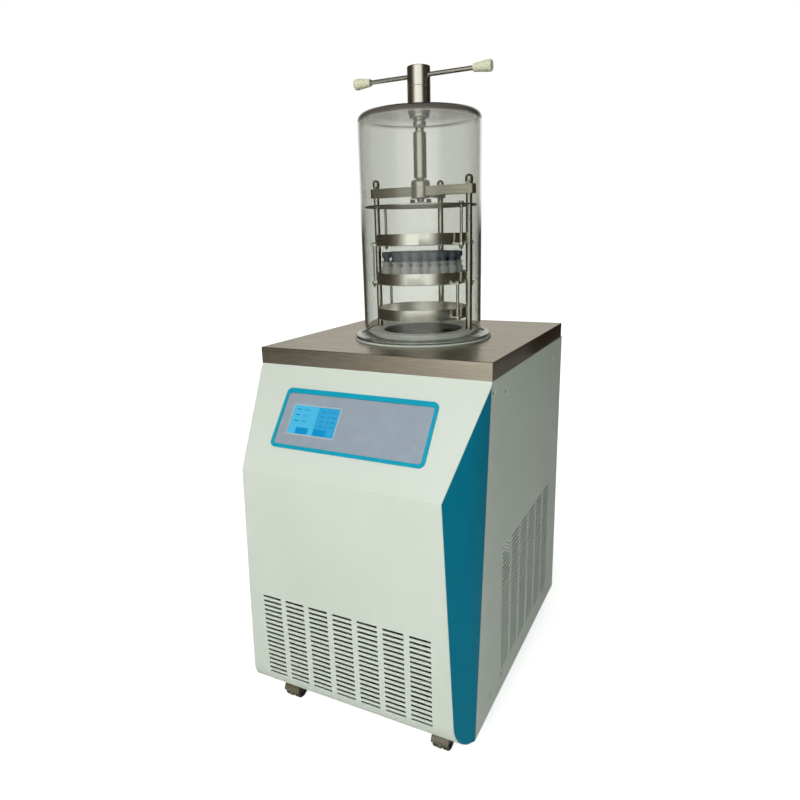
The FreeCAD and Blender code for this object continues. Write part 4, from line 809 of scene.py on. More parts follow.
class DRYER_OT_screws(bpy.types.Operator):
    """Sets cross-recessed screws in the panels' dimples and on the rear panel"""
    bl_idname = "dryer.screws"
    bl_label = "Panel screws"

    def execute(self, context):
        looks = settings()
        zinc = plated_steel("zinc_plated_steel", linear("B9B8B2"))
        places, facing = [], []
        seat = 2.2 * MM                     # from a head's top down to what it stands on
        for low, high in solids("panel_screws"):
            middle, size = (low + high) / 2, high - low
            if size.x > size.y:
                side = 1 if middle.x > 0 else -1
                outer = high.x if side > 0 else low.x
                places.append(Vector((outer - side * seat, middle.y, middle.z)))
                facing.append((side, 0, 0))
            else:
                places.append(Vector((middle.x, high.y - seat, middle.z)))
                facing.append((0, 1, 0))
        head = screw_head(looks.cabinet.recess_width)
        head.materials.clear()
        head.materials.append(zinc)
        settle(instanced("panel_screw_heads", head, places, facing), "panel_screws", zinc,
               "panel_screws")
        return {"FINISHED"}


class DRYER_OT_worktop(bpy.types.Operator):
    """Grains the stainless worktop"""
    bl_idname = "dryer.worktop"
    bl_label = "Worktop"

    def execute(self, context):
        looks = settings()
        rounded("worktop", brushed_steel("grained_stainless_sheet", looks.cabinet.top_metal,
                                         gloss=0.30))
        return {"FINISHED"}


# ---------------------------------------------------------------- control panel


class DRYER_OT_control_panel(bpy.types.Operator):
    """Finishes the bezel and the fascia"""
    bl_idname = "dryer.control_panel"
    bl_label = "Control panel"

    def execute(self, context):
        looks = settings()
        rounded("control_bezel", moulded_plastic("moulded_abs", looks.panel.bezel, 0.3, sheen=0.2))
        overlay = moulded_plastic("polyester_overlay", looks.panel.fascia, 0.42, 0.35 * MM,
                                  0.006 * MM)
        rounded("control_fascia", overlay)
        return {"FINISHED"}


class DRYER_OT_display(bpy.types.Operator):
    """Builds the lit display with its readings, bars and buttons"""
    bl_idname = "dryer.display"
    bl_label = "Display"

    def execute(self, context):
        looks = settings()
        axis, size = broad_side("touch_screen")
        panel = looks.panel
        wide, tall = size[0], size[1]
        border = 3.0 * MM
        lit_wide, lit_tall = wide - 2 * border, tall - 2 * border
        step = 1.3 * MM                     # the lit layer lies this far under the border
        moulding = moulded_plastic("moulded_display_border", panel.border, 0.4)
        sides = []
        foot, ease = -2.4 * MM, 0.4 * MM
        for sign in (-1, 1):
            sides.append(plate("side", border, tall, foot, 0, 0.5 * MM,
                               (sign * (wide - border) / 2, 0), axis, ease))
            sides.append(plate("rail", lit_wide + MM, border, foot, -0.02 * MM, 0.4 * MM,
                               (0, sign * (tall - border) / 2), axis, ease))
        settle(link("display_border", joined("display_border", sides)), "touch_screen", moulding)
        glow = panel.glow
        layer = plate("display_layer", lit_wide, lit_tall, -size[2], -step, 0, axis=axis)
        settle(link("display_layer", layer), "touch_screen",
               lit_display("lit_display_background", panel.background, glow), "touch_screen")
        deeper = plate("display_field", 0.46 * lit_wide, lit_tall, -size[2] + 0.1 * MM,
                       -step + 0.05 * MM, 0, (0.27 * lit_wide, 0), axis)
        settle(link("display_field", deeper), "touch_screen",
               lit_display("lit_display_field", panel.field, glow))
        top = -step + 0.12 * MM
        buttons = [plate("button", 29 * MM, 13.5 * MM, -step, top, 1.2 * MM,
                         (across * lit_wide, -0.375 * lit_tall), axis) for across in (-0.2, 0.19)]
        settle(link("display_buttons", joined("display_buttons", buttons)), "touch_screen",
               lit_display("lit_display_button", panel.button, glow))
        bars = []
        for row in range(len(READINGS)):
            bars.append(plate("label", 11 * MM, 2.2 * MM, -step, top, 0.4 * MM,
                              (-0.38 * lit_wide, self.line(row) * lit_tall), axis))
        for row in range(4):
            level = (0.36 - 0.17 * row) * lit_tall
            for across, width in ((0.16, 9), (0.29, 6), (0.40, 8)):
                bars.append(plate("bar", width * MM, 1.8 * MM, -step, top, 0.3 * MM,
                                  (across * lit_wide, level), axis))
        ink = lit_display("lit_display_reading", panel.reading, glow * 0.9)
        settle(link("display_bars", joined("display_bars", bars)), "touch_screen", ink)
        settle(link("display_figures", self.figures(axis, lit_wide, lit_tall, top)),
               "touch_screen", ink)
        return {"FINISHED"}

    def line(self, row):
        """Height of a reading's line, as a share of the lit layer's."""
        return 0.36 - 0.20 * row

    def figures(self, axis, wide, tall, level):
        """The readings as one mesh."""
        meshes = []
        for row, words in enumerate(READINGS):
            curve = bpy.data.curves.new("figures", "FONT")
            curve.body = words
            curve.size = settings().panel.digit_height * 1.35
            curve.align_x = "LEFT"
            curve.align_y = "CENTER"
            writing = bpy.data.objects.new("figures", curve)
            bpy.context.scene.collection.objects.link(writing)
            mesh = evaluated_mesh(writing)
            place = Vector((-0.28 * wide, self.line(row) * tall, level))
            mesh.transform(axis @ Matrix.Translation(place))
            bpy.data.objects.remove(writing)
            meshes.append(mesh)
        return joined("display_figures", meshes)


# ---------------------------------------------------------------- chamber


def chamber_axis():
    """Point on the chamber's vertical axis."""
    low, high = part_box("chamber_cover")
    return (low + high) / 2


class DRYER_OT_chamber_cover(bpy.types.Operator):
    """Turns the clear chamber cover and finishes its seal"""
    bl_idname = "dryer.chamber_cover"
    bl_label = "Chamber cover"

    def execute(self, context):
        looks = settings()
        acrylic = clear_sheet("clear_cast_acrylic", looks.chamber.acrylic, 1.49)
        low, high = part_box("chamber_cover")
        flange, bore, foot = (high.x - low.x) / 2, 17.3 * MM, low.z + 7 * MM
        outer = looks.chamber.tube_radius
        inner = outer - looks.chamber.tube_wall
        drop, cap, edge = 9.5 * MM, 9 * MM, 14.5 * MM
        middle = (outer + bore) / 2 + 17 * MM
        profile = curved([(flange, low.z, 0.6 * MM), (flange, foot, 2.0 * MM),
                          (outer, foot, 12 * MM), (outer, high.z - drop, edge),
                          (middle, high.z - drop / 3, 120 * MM), (bore, high.z, 0),
                          (bore, high.z - cap, 0), (middle, high.z - drop / 3 - cap, 107 * MM),
                          (inner, high.z - drop - cap + MM, edge - 5 * MM),
                          (inner, low.z, 0.6 * MM)])
        centre = (low + high) / 2
        place = Matrix.Translation((centre.x, centre.y, 0))
        mesh = turned("chamber_cover_turned", profile, place, 160)
        self.painted_shoulder_shade(acrylic, centre, inner, high.z - drop - edge, looks.chamber.shoulder)
        settle(link("chamber_cover_turned", mesh), "chamber_cover", acrylic, "chamber_cover")
        rounded("chamber_seal", rubber("silicone_rubber", looks.chamber.seal))
        return {"FINISHED"}

    def painted_shoulder_shade(self, acrylic, centre, inner, start, shade_tone):
        """Paints shade on the outside of the thick shoulder, whose rounding swallows the light: a
        dark tone mixed into the acrylic's colour, with less light let through.
        """
        tree = acrylic.node_tree
        shader = next(node for node in tree.nodes if node.type == "BSDF_PRINCIPLED")
        radius, height = about_axis(tree, centre)
        blend = 0.4 * MM                    # how sharply the inner wall stays clear
        geometry = add(tree, "ShaderNodeNewGeometry").outputs
        up = add(tree, "ShaderNodeSeparateXYZ", {0: geometry["True Normal"]}).outputs[2]
        # What decides, the two values that its share runs between, and the share at each.
        parts = [(height, start - MM, start + 4 * MM, 0.0, 0.9),
                 (radius, inner + blend / 2, inner + blend * 1.5, 0.0, 1.0),
                 (up, 0.75, 0.98, 1.0, 0.0), (geometry["Backfacing"], 0.0, 1.0, 1.0, 0.0)]
        share = 1.0
        for value, low, high, least, most in parts:
            part = add(tree, "ShaderNodeMapRange", {"Value": value, "From Min": low,
                                                    "From Max": high, "To Min": least,
                                                    "To Max": most})
            share = add(tree, "ShaderNodeMath", {0: share, 1: part.outputs[0]},
                        operation="MULTIPLY").outputs[0]
        # Painted shade: the shoulder's dark tone blends into the base colour, and the light let
        # through drops by as much.
        clear = shader.inputs["Base Color"].default_value[:]
        mix = add(tree, "ShaderNodeMix", {0: share, 6: clear, 7: opaque(shade_tone)}, data_type="RGBA")
        tree.links.new(mix.outputs[2], shader.inputs["Base Color"])
        through = add(tree, "ShaderNodeMath", {0: 1.0, 1: share}, operation="SUBTRACT")
        tree.links.new(through.outputs[0], shader.inputs["Transmission Weight"])


class DRYER_OT_handle(bpy.types.Operator):
    """Finishes the hub, the spindle, the T-bar and its knobs"""
    bl_idname = "dryer.handle"
    bl_label = "T-handle"

    def execute(self, context):
        looks = settings()
        steel = turned_steel("turned_stainless_hub", looks.chamber.steel, chamber_axis())
        for node in ("seal_hub", "hub_nut"):
            rounded(node, steel)
        self.spindle(looks, steel)
        rounded("tee_bar", polished_steel("polished_stainless_bar", linear("B9B6AC"), 0.2))
        self.knobs(looks)
        return {"FINISHED"}

    def spindle(self, looks, steel):
        """Turned spindle: hub, a ball under the crown, a neck, and the socket's tube."""
        low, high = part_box("spindle")
        hub, tube = (high.x - low.x) / 2, looks.chamber.spindle_radius
        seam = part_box("seal_hub")[1].z
        knuckle = low.z + 109 * MM
        ball = [(tube * math.sin(turn), knuckle - 12.6 * MM * math.cos(turn))
                for turn in (math.radians(degrees) for degrees in range(40, 121, 8))]
        profile = curved([(0, low.z, 0), (tube, low.z, 1.2 * MM), (tube, low.z + 92 * MM, 2 * MM),
                          (9.3 * MM, low.z + 93 * MM, 0)] + [(r, z, 0) for r, z in ball]
                         + [(tube, knuckle + 12 * MM, 0), (tube, seam, 0), (hub, seam, 0.4 * MM),
                            (hub, high.z, 1.6 * MM), (0, high.z, 0)])
        centre = (low + high) / 2
        mesh = turned("spindle_turned", profile, Matrix.Translation((centre.x, centre.y, 0)), 64)
        settle(link("spindle_turned", mesh), "spindle", steel, "spindle")

    def knobs(self, looks):
        """Tapered knobs with a rounded end and a shallow waist at the bar."""
        ivory = moulded_plastic("ivory_phenolic", looks.chamber.knob, 0.28, 3 * MM,
                                0.004 * MM, 0.4, edge=0.0)
        meshes = []
        for low, high in solids("tee_knobs"):
            side = 1 if low.x > chamber_axis().x else -1
            start = low.x if side > 0 else high.x
            length, radius = high.x - low.x, (high.z - low.z) / 2
            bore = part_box("tee_bar")[1].z - (low.z + high.z) / 2
            profile = [(bore, 0.5 * MM), (0.60 * radius, 0), (0.68 * radius, 0.8 * MM),
                       (0.71 * radius, 0.08 * length), (0.78 * radius, 0.30 * length),
                       (0.91 * radius, 0.60 * length), (0.99 * radius, 0.80 * length),
                       (radius, 0.87 * length), (0.97 * radius, 0.93 * length),
                       (0.86 * radius, 0.975 * length), (0.6 * radius, 0.995 * length),
                       (0, length), (0, 0.8 * length), (bore, 0.8 * length)]
            origin = Vector((start, (low.y + high.y) / 2, (low.z + high.z) / 2))
            place = Matrix.Translation(origin) @ Matrix.Rotation(side * math.pi / 2, 4, "Y")
            meshes.append(turned("knob", profile, place))
        settle(link("handle_knobs", joined("handle_knobs", meshes)), "tee_knobs", ivory,
               "tee_knobs")


class DRYER_OT_rack(bpy.types.Operator):
    """Finishes the press rack: base, posts, nuts, crossbar, plate and screws"""
    bl_idname = "dryer.rack"
    bl_label = "Press rack"

    def execute(self, context):
        looks = settings()
        centre = chamber_axis()
        steel = looks.chamber.steel
        lathe = turned_steel("turned_stainless_disc", steel, centre, 0.3)
        bright = polished_steel("polished_stainless_post", steel)
        satin = brushed_steel("grained_stainless_bar", linear("CECBC2"), 0, 0.3)
        rounded("rack_base", blasted_metal("bead_blasted_aluminium", linear("FCFBFA")))
        for node in ("press_plate", "screw_retainer"):
            rounded(node, lathe)
        for node in ("rack_posts", "acorn_nuts"):
            rounded(node, bright)
        rounded("crossbar", satin)
        black = plated_steel("black_oxide_steel", linear("1B1B1C"), 0.35)
        rounded("plate_screws", black)
        self.press_screw(looks, bright)
        return {"FINISHED"}

    def press_screw(self, looks, steel):
        """Rolled trapezoidal thread between the screw's neck and its head."""
        low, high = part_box("press_screw")
        centre = (low + high) / 2
        radius = (high.y - low.y) / 2
        pitch, depth = looks.chamber.thread_pitch, looks.chamber.thread_depth
        starts, around, steps_per_pitch = 2, 32, 8
        crest_level, flank_slope = 2.2, 6.4
        foot, top = low.z + 12 * MM, high.z - 19 * MM
        rows = int((top - foot) / pitch * steps_per_pitch)
        work = bmesh.new()
        loops = []
        for row in range(rows + 1):
            level = foot + (top - foot) * row / rows
            fade = min(1.0, row / steps_per_pitch, (rows - row) / steps_per_pitch)
            ring = []
            for step in range(around):
                angle = 2 * math.pi * step / around
                phase = ((level - foot) / pitch / starts - step / around) * starts % 1.0
                crest = min(1.0, max(0.0, crest_level - abs(phase - 0.5) * flank_slope))
                reach = radius - depth * fade * (1 - crest)
                ring.append(work.verts.new((centre.x + reach * math.cos(angle),
                                            centre.y + reach * math.sin(angle), level)))
            loops.append(ring)
        thread = stacked("thread", work, loops, 40)
        spot = Matrix.Translation((centre.x, centre.y, 0))
        neck = 6 * MM
        collar = turned("collar", [(0, low.z), (radius, low.z), (radius, low.z + 2.4 * MM),
                                   (neck, low.z + 2.4 * MM), (neck, foot - 5 * MM),
                                   (radius - 0.5 * MM, foot), (0, foot)], spot)
        across = radius / math.cos(math.pi / 6)
        hexagon = turned("head", [(0, top), (across - MM, top), (across, top + MM),
                                  (across, high.z - MM), (across - MM, high.z), (0, high.z)],
                         spot, 6)
        mesh = joined("press_screw_thread", [thread, collar, hexagon])
        settle(link("press_screw_threaded", mesh), "press_screw", steel, "press_screw")


class DRYER_OT_trays(bpy.types.Operator):
    """Finishes the trays and the rods they hang on"""
    bl_idname = "dryer.trays"
    bl_label = "Trays and rods"

    def execute(self, context):
        looks = settings()
        spun = turned_steel("spun_stainless_tray", looks.chamber.tray, chamber_axis(), 0.2)
        bright = polished_steel("polished_stainless_rod", looks.chamber.steel, 0.16)
        for level in ("upper", "middle", "lower"):
            rounded(level + "_tray", spun)
            rounded(level + "_rods", bright)
        return {"FINISHED"}


class DRYER_OT_vials(bpy.types.Operator):
    """Lays out the glass vials and their rubber stoppers"""
    bl_idname = "dryer.vials"
    bl_label = "Vials and stoppers"

    def execute(self, context):
        looks = settings()
        low, high = solids("vials")[0]
        radius, tall = (high.x - low.x) / 2, high.z - low.z
        wall, neck, lip, bore = 1.2 * MM, 8.2 * MM, 10 * MM, 6.5 * MM
        profile = [(0, 0), (radius - 1.5 * MM, 0), (radius - 0.4 * MM, 0.4 * MM),
                   (radius, 1.5 * MM), (radius, tall - 14 * MM),
                   (radius - 0.8 * MM, tall - 12 * MM), (neck, tall - 9 * MM),
                   (neck, tall - 4.5 * MM), (lip, tall - 4 * MM), (lip, tall - 0.5 * MM),
                   (lip - 0.5 * MM, tall), (bore, tall), (bore, tall - 9 * MM),
                   (radius - wall, tall - 15 * MM), (radius - wall, 2.5 * MM), (0, wall)]
        self.lay_out("glass_vials", "vials", "vial", profile,
                     vial_glass("tubular_borosilicate_glass", looks.chamber.glass))
        low, high = solids("stoppers")[0]
        rim, plug, tall = (high.x - low.x) / 2, 6.25 * MM, high.z - low.z
        seat = tall - 11.5 * MM
        profile = [(0, 0.6 * MM), (plug - 1.6 * MM, 0), (plug - 0.3 * MM, 1.2 * MM),
                   (plug, 2 * MM), (plug, seat), (rim - 0.4 * MM, seat), (rim, seat + 0.5 * MM),
                   (rim, tall - 0.6 * MM), (rim - 0.6 * MM, tall), (4.2 * MM, tall),
                   (3.6 * MM, tall - 0.4 * MM), (0, tall - 0.4 * MM)]
        self.lay_out("rubber_stoppers", "stoppers", "stopper", profile,
                     rubber("butyl_rubber", looks.chamber.stopper, 0.38))
        return {"FINISHED"}

    def lay_out(self, name, node, shape, profile, stuff):
        """One turned shape at the place of each solid of a node."""
        places = [((low.x + high.x) / 2, (low.y + high.y) / 2, low.z)
                  for low, high in solids(node)]
        prototype = turned(shape, profile, segments=20)
        prototype.materials.append(stuff)
        settle(instanced(name, prototype, places), node, stuff, node)


# ---------------------------------------------------------------- machinery


class DRYER_OT_cold_trap(bpy.types.Operator):
    """Finishes the cold trap, its coil, its jacket and the vacuum port"""
    bl_idname = "dryer.cold_trap"
    bl_label = "Cold trap"

    def execute(self, context):
        looks = settings()
        drawn = turned_steel("drawn_stainless_pot", linear("BDBBB3"), chamber_axis(), 0.26)
        rounded("cold_trap_pot", drawn)
        rounded("vacuum_port", polished_steel("polished_stainless_port", linear("C2C0B9"), 0.18))
        rounded("evaporator_coil", copper("brazed_copper_coil", looks.machine.copper))
        rounded("trap_insulation", foam("nitrile_foam", linear("2A2B2D")))
        return {"FINISHED"}


class DRYER_OT_cooling(bpy.types.Operator):
    """Finishes the condenser with its fine fins, the fan, the compressor and the lines"""
    bl_idname = "dryer.cooling"
    bl_label = "Cooling set"

    def execute(self, context):
        looks = settings()
        fin_metal = brushed_steel("rolled_aluminium_fin", linear("B9BCBE"), 2, 0.38)
        rounded("condenser", fin_metal)
        self.fine_fins(looks, fin_metal)
        pipe = copper("drawn_copper_line", looks.machine.copper)
        for node in ("refrigerant_pipes", "filter_drier"):
            rounded(node, pipe)
        black = powder_coat("black_enamelled_shell", looks.machine.enamel, 0.3)
        rounded("compressor", black)
        nylon = moulded_plastic("glass_filled_nylon", linear("202123"), 0.5, 1.2 * MM)
        for node in ("fan_housing", "fan_blades"):
            rounded(node, nylon)
        return {"FINISHED"}

    def fine_fins(self, looks, metal):
        """Fills the gaps between the condenser's main fins with thin ones."""
        low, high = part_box("fan_housing")
        fins = 24                           # main fins across the coil
        gap = (high.x - low.x) / fins
        between = looks.machine.fins_between
        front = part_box("condenser")[0].y
        depth, tall = low.y - front, high.z - low.z
        places = []
        for fin in range(fins):
            for extra in range(1, between + 1):
                offset = gap * (fin + 0.5 + extra / (between + 1))
                if offset < high.x - low.x - MM:
                    places.append((low.x + offset, front + depth / 2, (low.z + high.z) / 2))
        thickness = 0.25 * MM
        work = bmesh.new()
        bmesh.ops.create_cube(work, size=1.0)
        bmesh.ops.scale(work, verts=work.verts, vec=(thickness, depth - MM, tall - MM))
        fin = mesh_from("fine_fin", work)
        fin.materials.append(metal)
        settle(instanced("condenser_fine_fins", fin, places), "condenser", metal)


class DRYER_OT_electrics(bpy.types.Operator):
    """Finishes the control board, the mains inlet and its switch"""
    bl_idname = "dryer.electrics"
    bl_label = "Electrics"

    def execute(self, context):
        looks = settings()
        rounded("control_board", self.board(looks))
        black = moulded_plastic("black_polycarbonate", linear("191A1B"), 0.42, 0.8 * MM)
        rounded("power_inlet", black)
        gloss = moulded_plastic("black_nylon_rocker", linear("141415"), 0.25, 0.8 * MM)
        rounded("rocker_switch", gloss)
        self.pins()
        return {"FINISHED"}

    def board(self, looks):
        """Fibreglass board under dark moulded parts."""
        stuff, tree, shader = surface("fibreglass_board", Roughness=0.4, IOR=1.5)
        place = add(tree, "ShaderNodeTexCoord").outputs["Object"]
        split = add(tree, "ShaderNodeSeparateXYZ", {0: place})
        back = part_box("control_board")[1].y
        step = {0: split.outputs[1], 1: back - 1.8 * MM}
        on_board = add(tree, "ShaderNodeMath", step, operation="GREATER_THAN")
        colours = {0: on_board.outputs[0], 6: opaque(linear("2C2E31")),
                   7: opaque(looks.machine.board)}
        mix = add(tree, "ShaderNodeMix", colours, data_type="RGBA")
        tree.links.new(mix.outputs[2], shader.inputs["Base Color"])
        relief(tree, shader, grain(tree, 1.1 * MM), 0.05 * MM, 0.6, edge=0.4 * MM)
        return stuff

    def pins(self):
        """Caps on the inlet's three pins, so that their metal shows."""
        low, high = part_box("power_inlet")
        centre = (low + high) / 2
        brass = plated_steel("nickel_plated_brass", linear("CFC8B4"), 0.22)
        tip = high.y - 6 * MM
        turn = Matrix.Rotation(-math.pi / 2, 4, "X")
        meshes = []
        below = 15                          # the socket's middle lies under the inlet's
        for across, up in ((-7, -2), (0, 3), (7, -2)):
            place = Matrix.Translation((centre.x + across * MM, tip,
                                        centre.z + (up - below) * MM))
            meshes.append(plate("pin", 2.1 * MM, 5.1 * MM, -13 * MM, 0.1 * MM, 0.4 * MM,
                                axis=place @ turn, edge=0.3 * MM))
        settle(link("inlet_pins", joined("inlet_pins", meshes)), "power_inlet", brass)


class DRYER_OT_drain(bpy.types.Operator):
    """Finishes the drain pipe, its valve and the valve's lever"""
    bl_idname = "dryer.drain"
    bl_label = "Drain"

    def execute(self, context):
        looks = settings()
        rounded("drain_pipe", polished_steel("drawn_stainless_pipe", linear("BCBAB3"), 0.22))
        rounded("drain_valve", plated_steel("nickel_plated_valve", linear("C4BFAF"), 0.25))
        rounded("drain_lever", powder_coat("red_enamelled_lever", looks.machine.lever, 0.35))
        return {"FINISHED"}


# ---------------------------------------------------------------- casters


class DRYER_OT_casters(bpy.types.Operator):
    """Finishes the casters' hoods and wheels"""
    bl_idname = "dryer.casters"
    bl_label = "Casters"

    def execute(self, context):
        looks = settings()
        hood = moulded_plastic("smoked_nylon_hood", looks.casters.hood, 0.24, 0.9 * MM,
                               coat=0.6)
        wheel = moulded_plastic("black_nylon_wheel", looks.casters.wheel, 0.45, 0.9 * MM)
        for caster in CASTERS:
            rounded(caster + "_caster_fork", hood)
            rounded(caster + "_caster_wheels", wheel)
        return {"FINISHED"}


# ---------------------------------------------------------------- stage


class DRYER_OT_stage(bpy.types.Operator):
    """Sets up the pale floor, the soft lamps and the camera"""
    bl_idname = "dryer.stage"
    bl_label = "Stage"

    def execute(self, context):
        looks = settings()
        self.floor(looks.stage)
        self.surround()
        self.lamps(looks.stage)
        self.world(looks.stage)
        self.camera()
        scene = bpy.context.scene
        scene.view_settings.view_transform = "Standard"
        return {"FINISHED"}

    def straight(self, tree):
        """1 for what is looked at straight or through clear pieces, 0 for what is mirrored."""
        rays = add(tree, "ShaderNodeLightPath").outputs
        seen = add(tree, "ShaderNodeMath", {0: rays["Is Camera Ray"],
                                            1: rays["Is Transmission Ray"]}, operation="MAXIMUM")
        turned_back = add(tree, "ShaderNodeMath", {0: rays["Glossy Depth"],
                                                   1: rays["Diffuse Depth"]})
        first = add(tree, "ShaderNodeMath", {0: turned_back.outputs[0], 1: 0.5},
                    operation="LESS_THAN")
        return add(tree, "ShaderNodeMath", {0: seen.outputs[0], 1: first.outputs[0]},
                   operation="MULTIPLY").outputs[0]

    def floor(self, stage):
        """Large pale floor that keeps a soft shadow and melts into the background."""
        reach = 14.0
        work = bmesh.new()
        bmesh.ops.create_circle(work, cap_ends=True, radius=reach, segments=96)
        mesh = mesh_from("studio_floor", work)
        stuff, tree = bare("pale_studio_paper")
        fibres = add(tree, "ShaderNodeMapRange", {"Value": grain(tree, 4 * MM), "To Min": 0.985,
                                                  "To Max": 1.0})
        paper = {0: 1.0, 6: opaque(stage.floor), 7: fibres.outputs[0]}
        colour = add(tree, "ShaderNodeMix", paper, data_type="RGBA", blend_type="MULTIPLY")
        matt = add(tree, "ShaderNodeBsdfDiffuse", {"Color": colour.outputs[2]})
        place = add(tree, "ShaderNodeTexCoord").outputs["Object"]
        away = add(tree, "ShaderNodeVectorMath", {0: place}, operation="LENGTH")
        lift = add(tree, "ShaderNodeMapRange", {"Value": away.outputs["Value"], "From Min": 0.5,
                                                "From Max": 1.3, "To Min": 0.72, "To Max": 1.0},
                   interpolation_type="SMOOTHSTEP")
        white = add(tree, "ShaderNodeEmission", {"Color": (1, 1, 1, 1),
                                                 "Strength": lift.outputs[0]})
        lit = add(tree, "ShaderNodeAddShader", {0: matt.outputs[0], 1: white.outputs[0]})
        mix = add(tree, "ShaderNodeMixShader", {0: self.straight(tree), 1: matt.outputs[0],
                                                2: lit.outputs[0]})
        add(tree, "ShaderNodeOutputMaterial", {"Surface": mix.outputs[0]})
        mesh.materials.append(stuff)
        link("studio_floor", mesh)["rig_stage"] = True

    def surround(self):
        """Grey room round the object that only reflections see, bright in front."""
        reach, tall, sunk = 4.0, 5.0, 0.1
        work = bmesh.new()
        bmesh.ops.create_cone(work, segments=96, radius1=reach, radius2=reach, depth=tall)
        mesh = mesh_from("room_reflection", work)
        mesh.transform(Matrix.Translation((0, 0, tall / 2 - sunk)))
        stuff, tree = bare("room_walls")
        place = add(tree, "ShaderNodeTexCoord").outputs["Object"]
        split = add(tree, "ShaderNodeSeparateXYZ", {0: place})
        # Turn about the object: 0 in front of it, growing towards its right.
        ahead = add(tree, "ShaderNodeMath", {0: split.outputs[1], 1: -1.0}, operation="MULTIPLY")
        angle = add(tree, "ShaderNodeMath", {0: split.outputs[0], 1: ahead.outputs[0]},
                    operation="ARCTAN2")
        share = add(tree, "ShaderNodeMapRange", {"Value": angle.outputs[0], "From Min": -math.pi,
                                                 "From Max": math.pi})
        ramps = []
        for stops in (ROOM_LOW, ROOM_HIGH):
            ramp = add(tree, "ShaderNodeValToRGB", {"Fac": share.outputs[0]})
            elements = ramp.color_ramp.elements
            for i, (where, colour) in enumerate(stops):
                element = elements[i] if i < 2 else elements.new(where)
                element.position = where
                element.color = opaque(linear(colour))
            ramps.append(ramp.outputs[0])
        level = add(tree, "ShaderNodeMapRange", {"Value": split.outputs[2], "From Min": 1.05,
                                                 "From Max": 1.35})
        wall = add(tree, "ShaderNodeMix", {0: level.outputs[0], 6: ramps[0], 7: ramps[1]},
                   data_type="RGBA")
        glow = add(tree, "ShaderNodeEmission", {"Color": wall.outputs[2], "Strength": 1.9})
        clear = add(tree, "ShaderNodeBsdfTransparent")
        depth = add(tree, "ShaderNodeLightPath").outputs["Glossy Depth"]
        mirrored = add(tree, "ShaderNodeMath", {0: depth, 1: 0.5}, operation="GREATER_THAN")
        mix = add(tree, "ShaderNodeMixShader", {0: mirrored.outputs[0], 1: clear.outputs[0],
                                                2: glow.outputs[0]})
        add(tree, "ShaderNodeOutputMaterial", {"Surface": mix.outputs[0]})
        mesh.materials.append(stuff)
        room = link("room_reflection", mesh)
        for ray in ("camera", "diffuse", "shadow"):
            setattr(room, "visible_" + ray, False)
        room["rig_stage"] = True

    def lamps(self, stage):
        """Three soft lamps, aimed at the middle of the object."""
        low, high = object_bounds()
        middle = (Vector(low) + Vector(high)) / 2
        # Name, place, size, power and colour.
        rigs = (("key_lamp", (-0.1, -3.4, 2.3), 2.2, stage.key_power, "FFFEFA"),
                ("side_lamp", (0.98, -1.75, 1.6), 0.7, stage.side_power, "F4FFFB"),
                ("top_lamp", (-0.6, -0.4, 3.4), 2.6, stage.top_power, "FFFFFF"))
        for name, spot, size, power, colour in rigs:
            lamp = bpy.data.lights.new(name, "AREA")
            lamp.shape = "SQUARE"
            lamp.size = size
            lamp.energy = power
            lamp.color = linear(colour)
            holder = bpy.data.objects.new(name, lamp)
            holder.location = spot
            holder.rotation_euler = (middle - Vector(spot)).to_track_quat("-Z", "Y").to_euler()
            holder.visible_glossy = holder.visible_transmission = False
            bpy.context.scene.collection.objects.link(holder)

    def world(self, stage):
        """White behind the object, and soft even light on it."""
        world = bpy.data.worlds.new("studio_world")
        bpy.context.scene.world = world
        world.use_nodes = True
        tree = world.node_tree
        tree.nodes.clear()
        # Steep rays bent upwards by a clear piece's rounded edge meet a dim ceiling.
        way = add(tree, "ShaderNodeTexCoord").outputs["Generated"]
        rise = add(tree, "ShaderNodeSeparateXYZ", {0: way}).outputs[2]
        steep = add(tree, "ShaderNodeMapRange", {"Value": rise, "From Min": 0.3, "From Max": 0.55})
        bent = add(tree, "ShaderNodeLightPath").outputs["Is Transmission Ray"]
        dim = add(tree, "ShaderNodeMath", {0: steep.outputs[0], 1: bent}, operation="MULTIPLY")
        above = add(tree, "ShaderNodeMix", {0: dim.outputs[0], 6: (1, 1, 1, 1),
                                            7: opaque(linear("6E6258"))}, data_type="RGBA")
        # Rays that aren't looked along straight meet the soft light instead.
        ends = {0: self.straight(tree), 6: tinted(linear("EFF8F2"), stage.ambient),
                7: above.outputs[2]}
        colour = add(tree, "ShaderNodeMix", ends, data_type="RGBA")
        light = add(tree, "ShaderNodeBackground", {"Color": colour.outputs[2]})
        add(tree, "ShaderNodeOutputWorld", {"Surface": light.outputs[0]})

    def camera(self):
        """Camera a little to the right of the front, above the worktop."""
        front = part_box("worktop")[0].y
        lens = bpy.data.cameras.new("view_camera")
        lens.sensor_width = 36.0
        lens.lens = 28.464
        lens.clip_end = 60.0
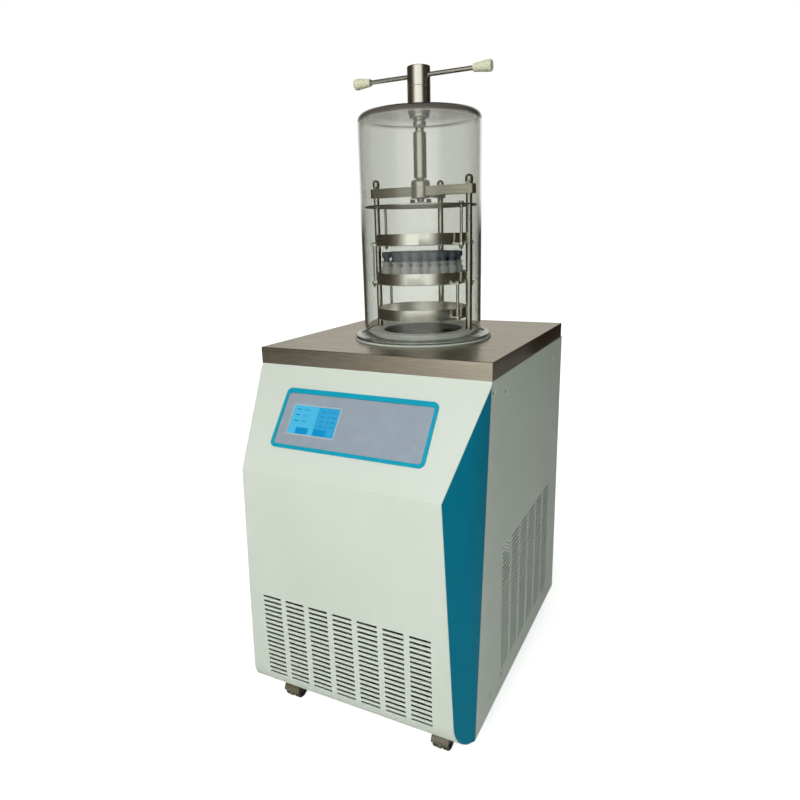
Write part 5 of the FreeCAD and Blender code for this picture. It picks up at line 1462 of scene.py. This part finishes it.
        # Turned to the left of straight ahead, tilted down, and leaning a little.
        turn, tilt, roll = (math.radians(angle) for angle in (27.014, 14.682, -1.493))
        ahead = Vector((-math.sin(turn) * math.cos(tilt), math.cos(turn) * math.cos(tilt),
                        -math.sin(tilt)))
        right = ahead.cross(Vector((0, 0, 1))).normalized()
        up = right.cross(ahead)
        level = right * math.cos(roll) + up * math.sin(roll)
        raised = up * math.cos(roll) - right * math.sin(roll)
        place = Vector((0.6144, front - 1.0646, 1.0307))
        holder = bpy.data.objects.new("view_camera", lens)
        holder.matrix_world = (Matrix.Translation(place)
                               @ Matrix((level, raised, -ahead)).transposed().to_4x4())
        bpy.context.scene.collection.objects.link(holder)
        bpy.context.scene.camera = holder


# ---------------------------------------------------------------- add-on

BUILDERS = (DRYER_OT_sheet_metal, DRYER_OT_accent_panels, DRYER_OT_screws, DRYER_OT_worktop,
            DRYER_OT_control_panel, DRYER_OT_display, DRYER_OT_chamber_cover, DRYER_OT_handle,
            DRYER_OT_rack, DRYER_OT_trays, DRYER_OT_vials, DRYER_OT_cold_trap,
            DRYER_OT_cooling, DRYER_OT_electrics, DRYER_OT_drain, DRYER_OT_casters,
            DRYER_OT_stage)


class DRYER_PT_looks(bpy.types.Panel):
    """Lists the settings and the operators of the freeze dryer"""
    bl_idname = "DRYER_PT_looks"
    bl_label = "Freeze dryer"
    bl_space_type = "VIEW_3D"
    bl_region_type = "UI"
    bl_category = "Freeze Dryer"

    def draw(self, context):
        looks = settings()
        for group in ("cabinet", "panel", "chamber", "machine", "casters", "stage"):
            box = self.layout.box()
            box.label(text=group.capitalize())
            values = getattr(looks, group)
            for name in values.__annotations__:
                box.prop(values, name)
        for builder in BUILDERS:
            self.layout.operator(builder.bl_idname)


CLASSES = (CabinetSettings, PanelSettings, ChamberSettings, MachineSettings, CasterSettings,
           StageSettings, DryerSettings, *BUILDERS, DRYER_PT_looks)


def register():
    """Adds the settings, the operators and the panel."""
    for item in CLASSES:
        bpy.utils.register_class(item)
    bpy.types.Scene.freeze_dryer = PointerProperty(type=DryerSettings)


def unregister():
    """Takes them away again."""
    del bpy.types.Scene.freeze_dryer
    for item in reversed(CLASSES):
        bpy.utils.unregister_class(item)


def main():
    """Builds every piece in order."""
    register()
    for builder in BUILDERS:
        group, name = builder.bl_idname.split(".")
        getattr(getattr(bpy.ops, group), name)()


if __name__ == "__main__":
    main()
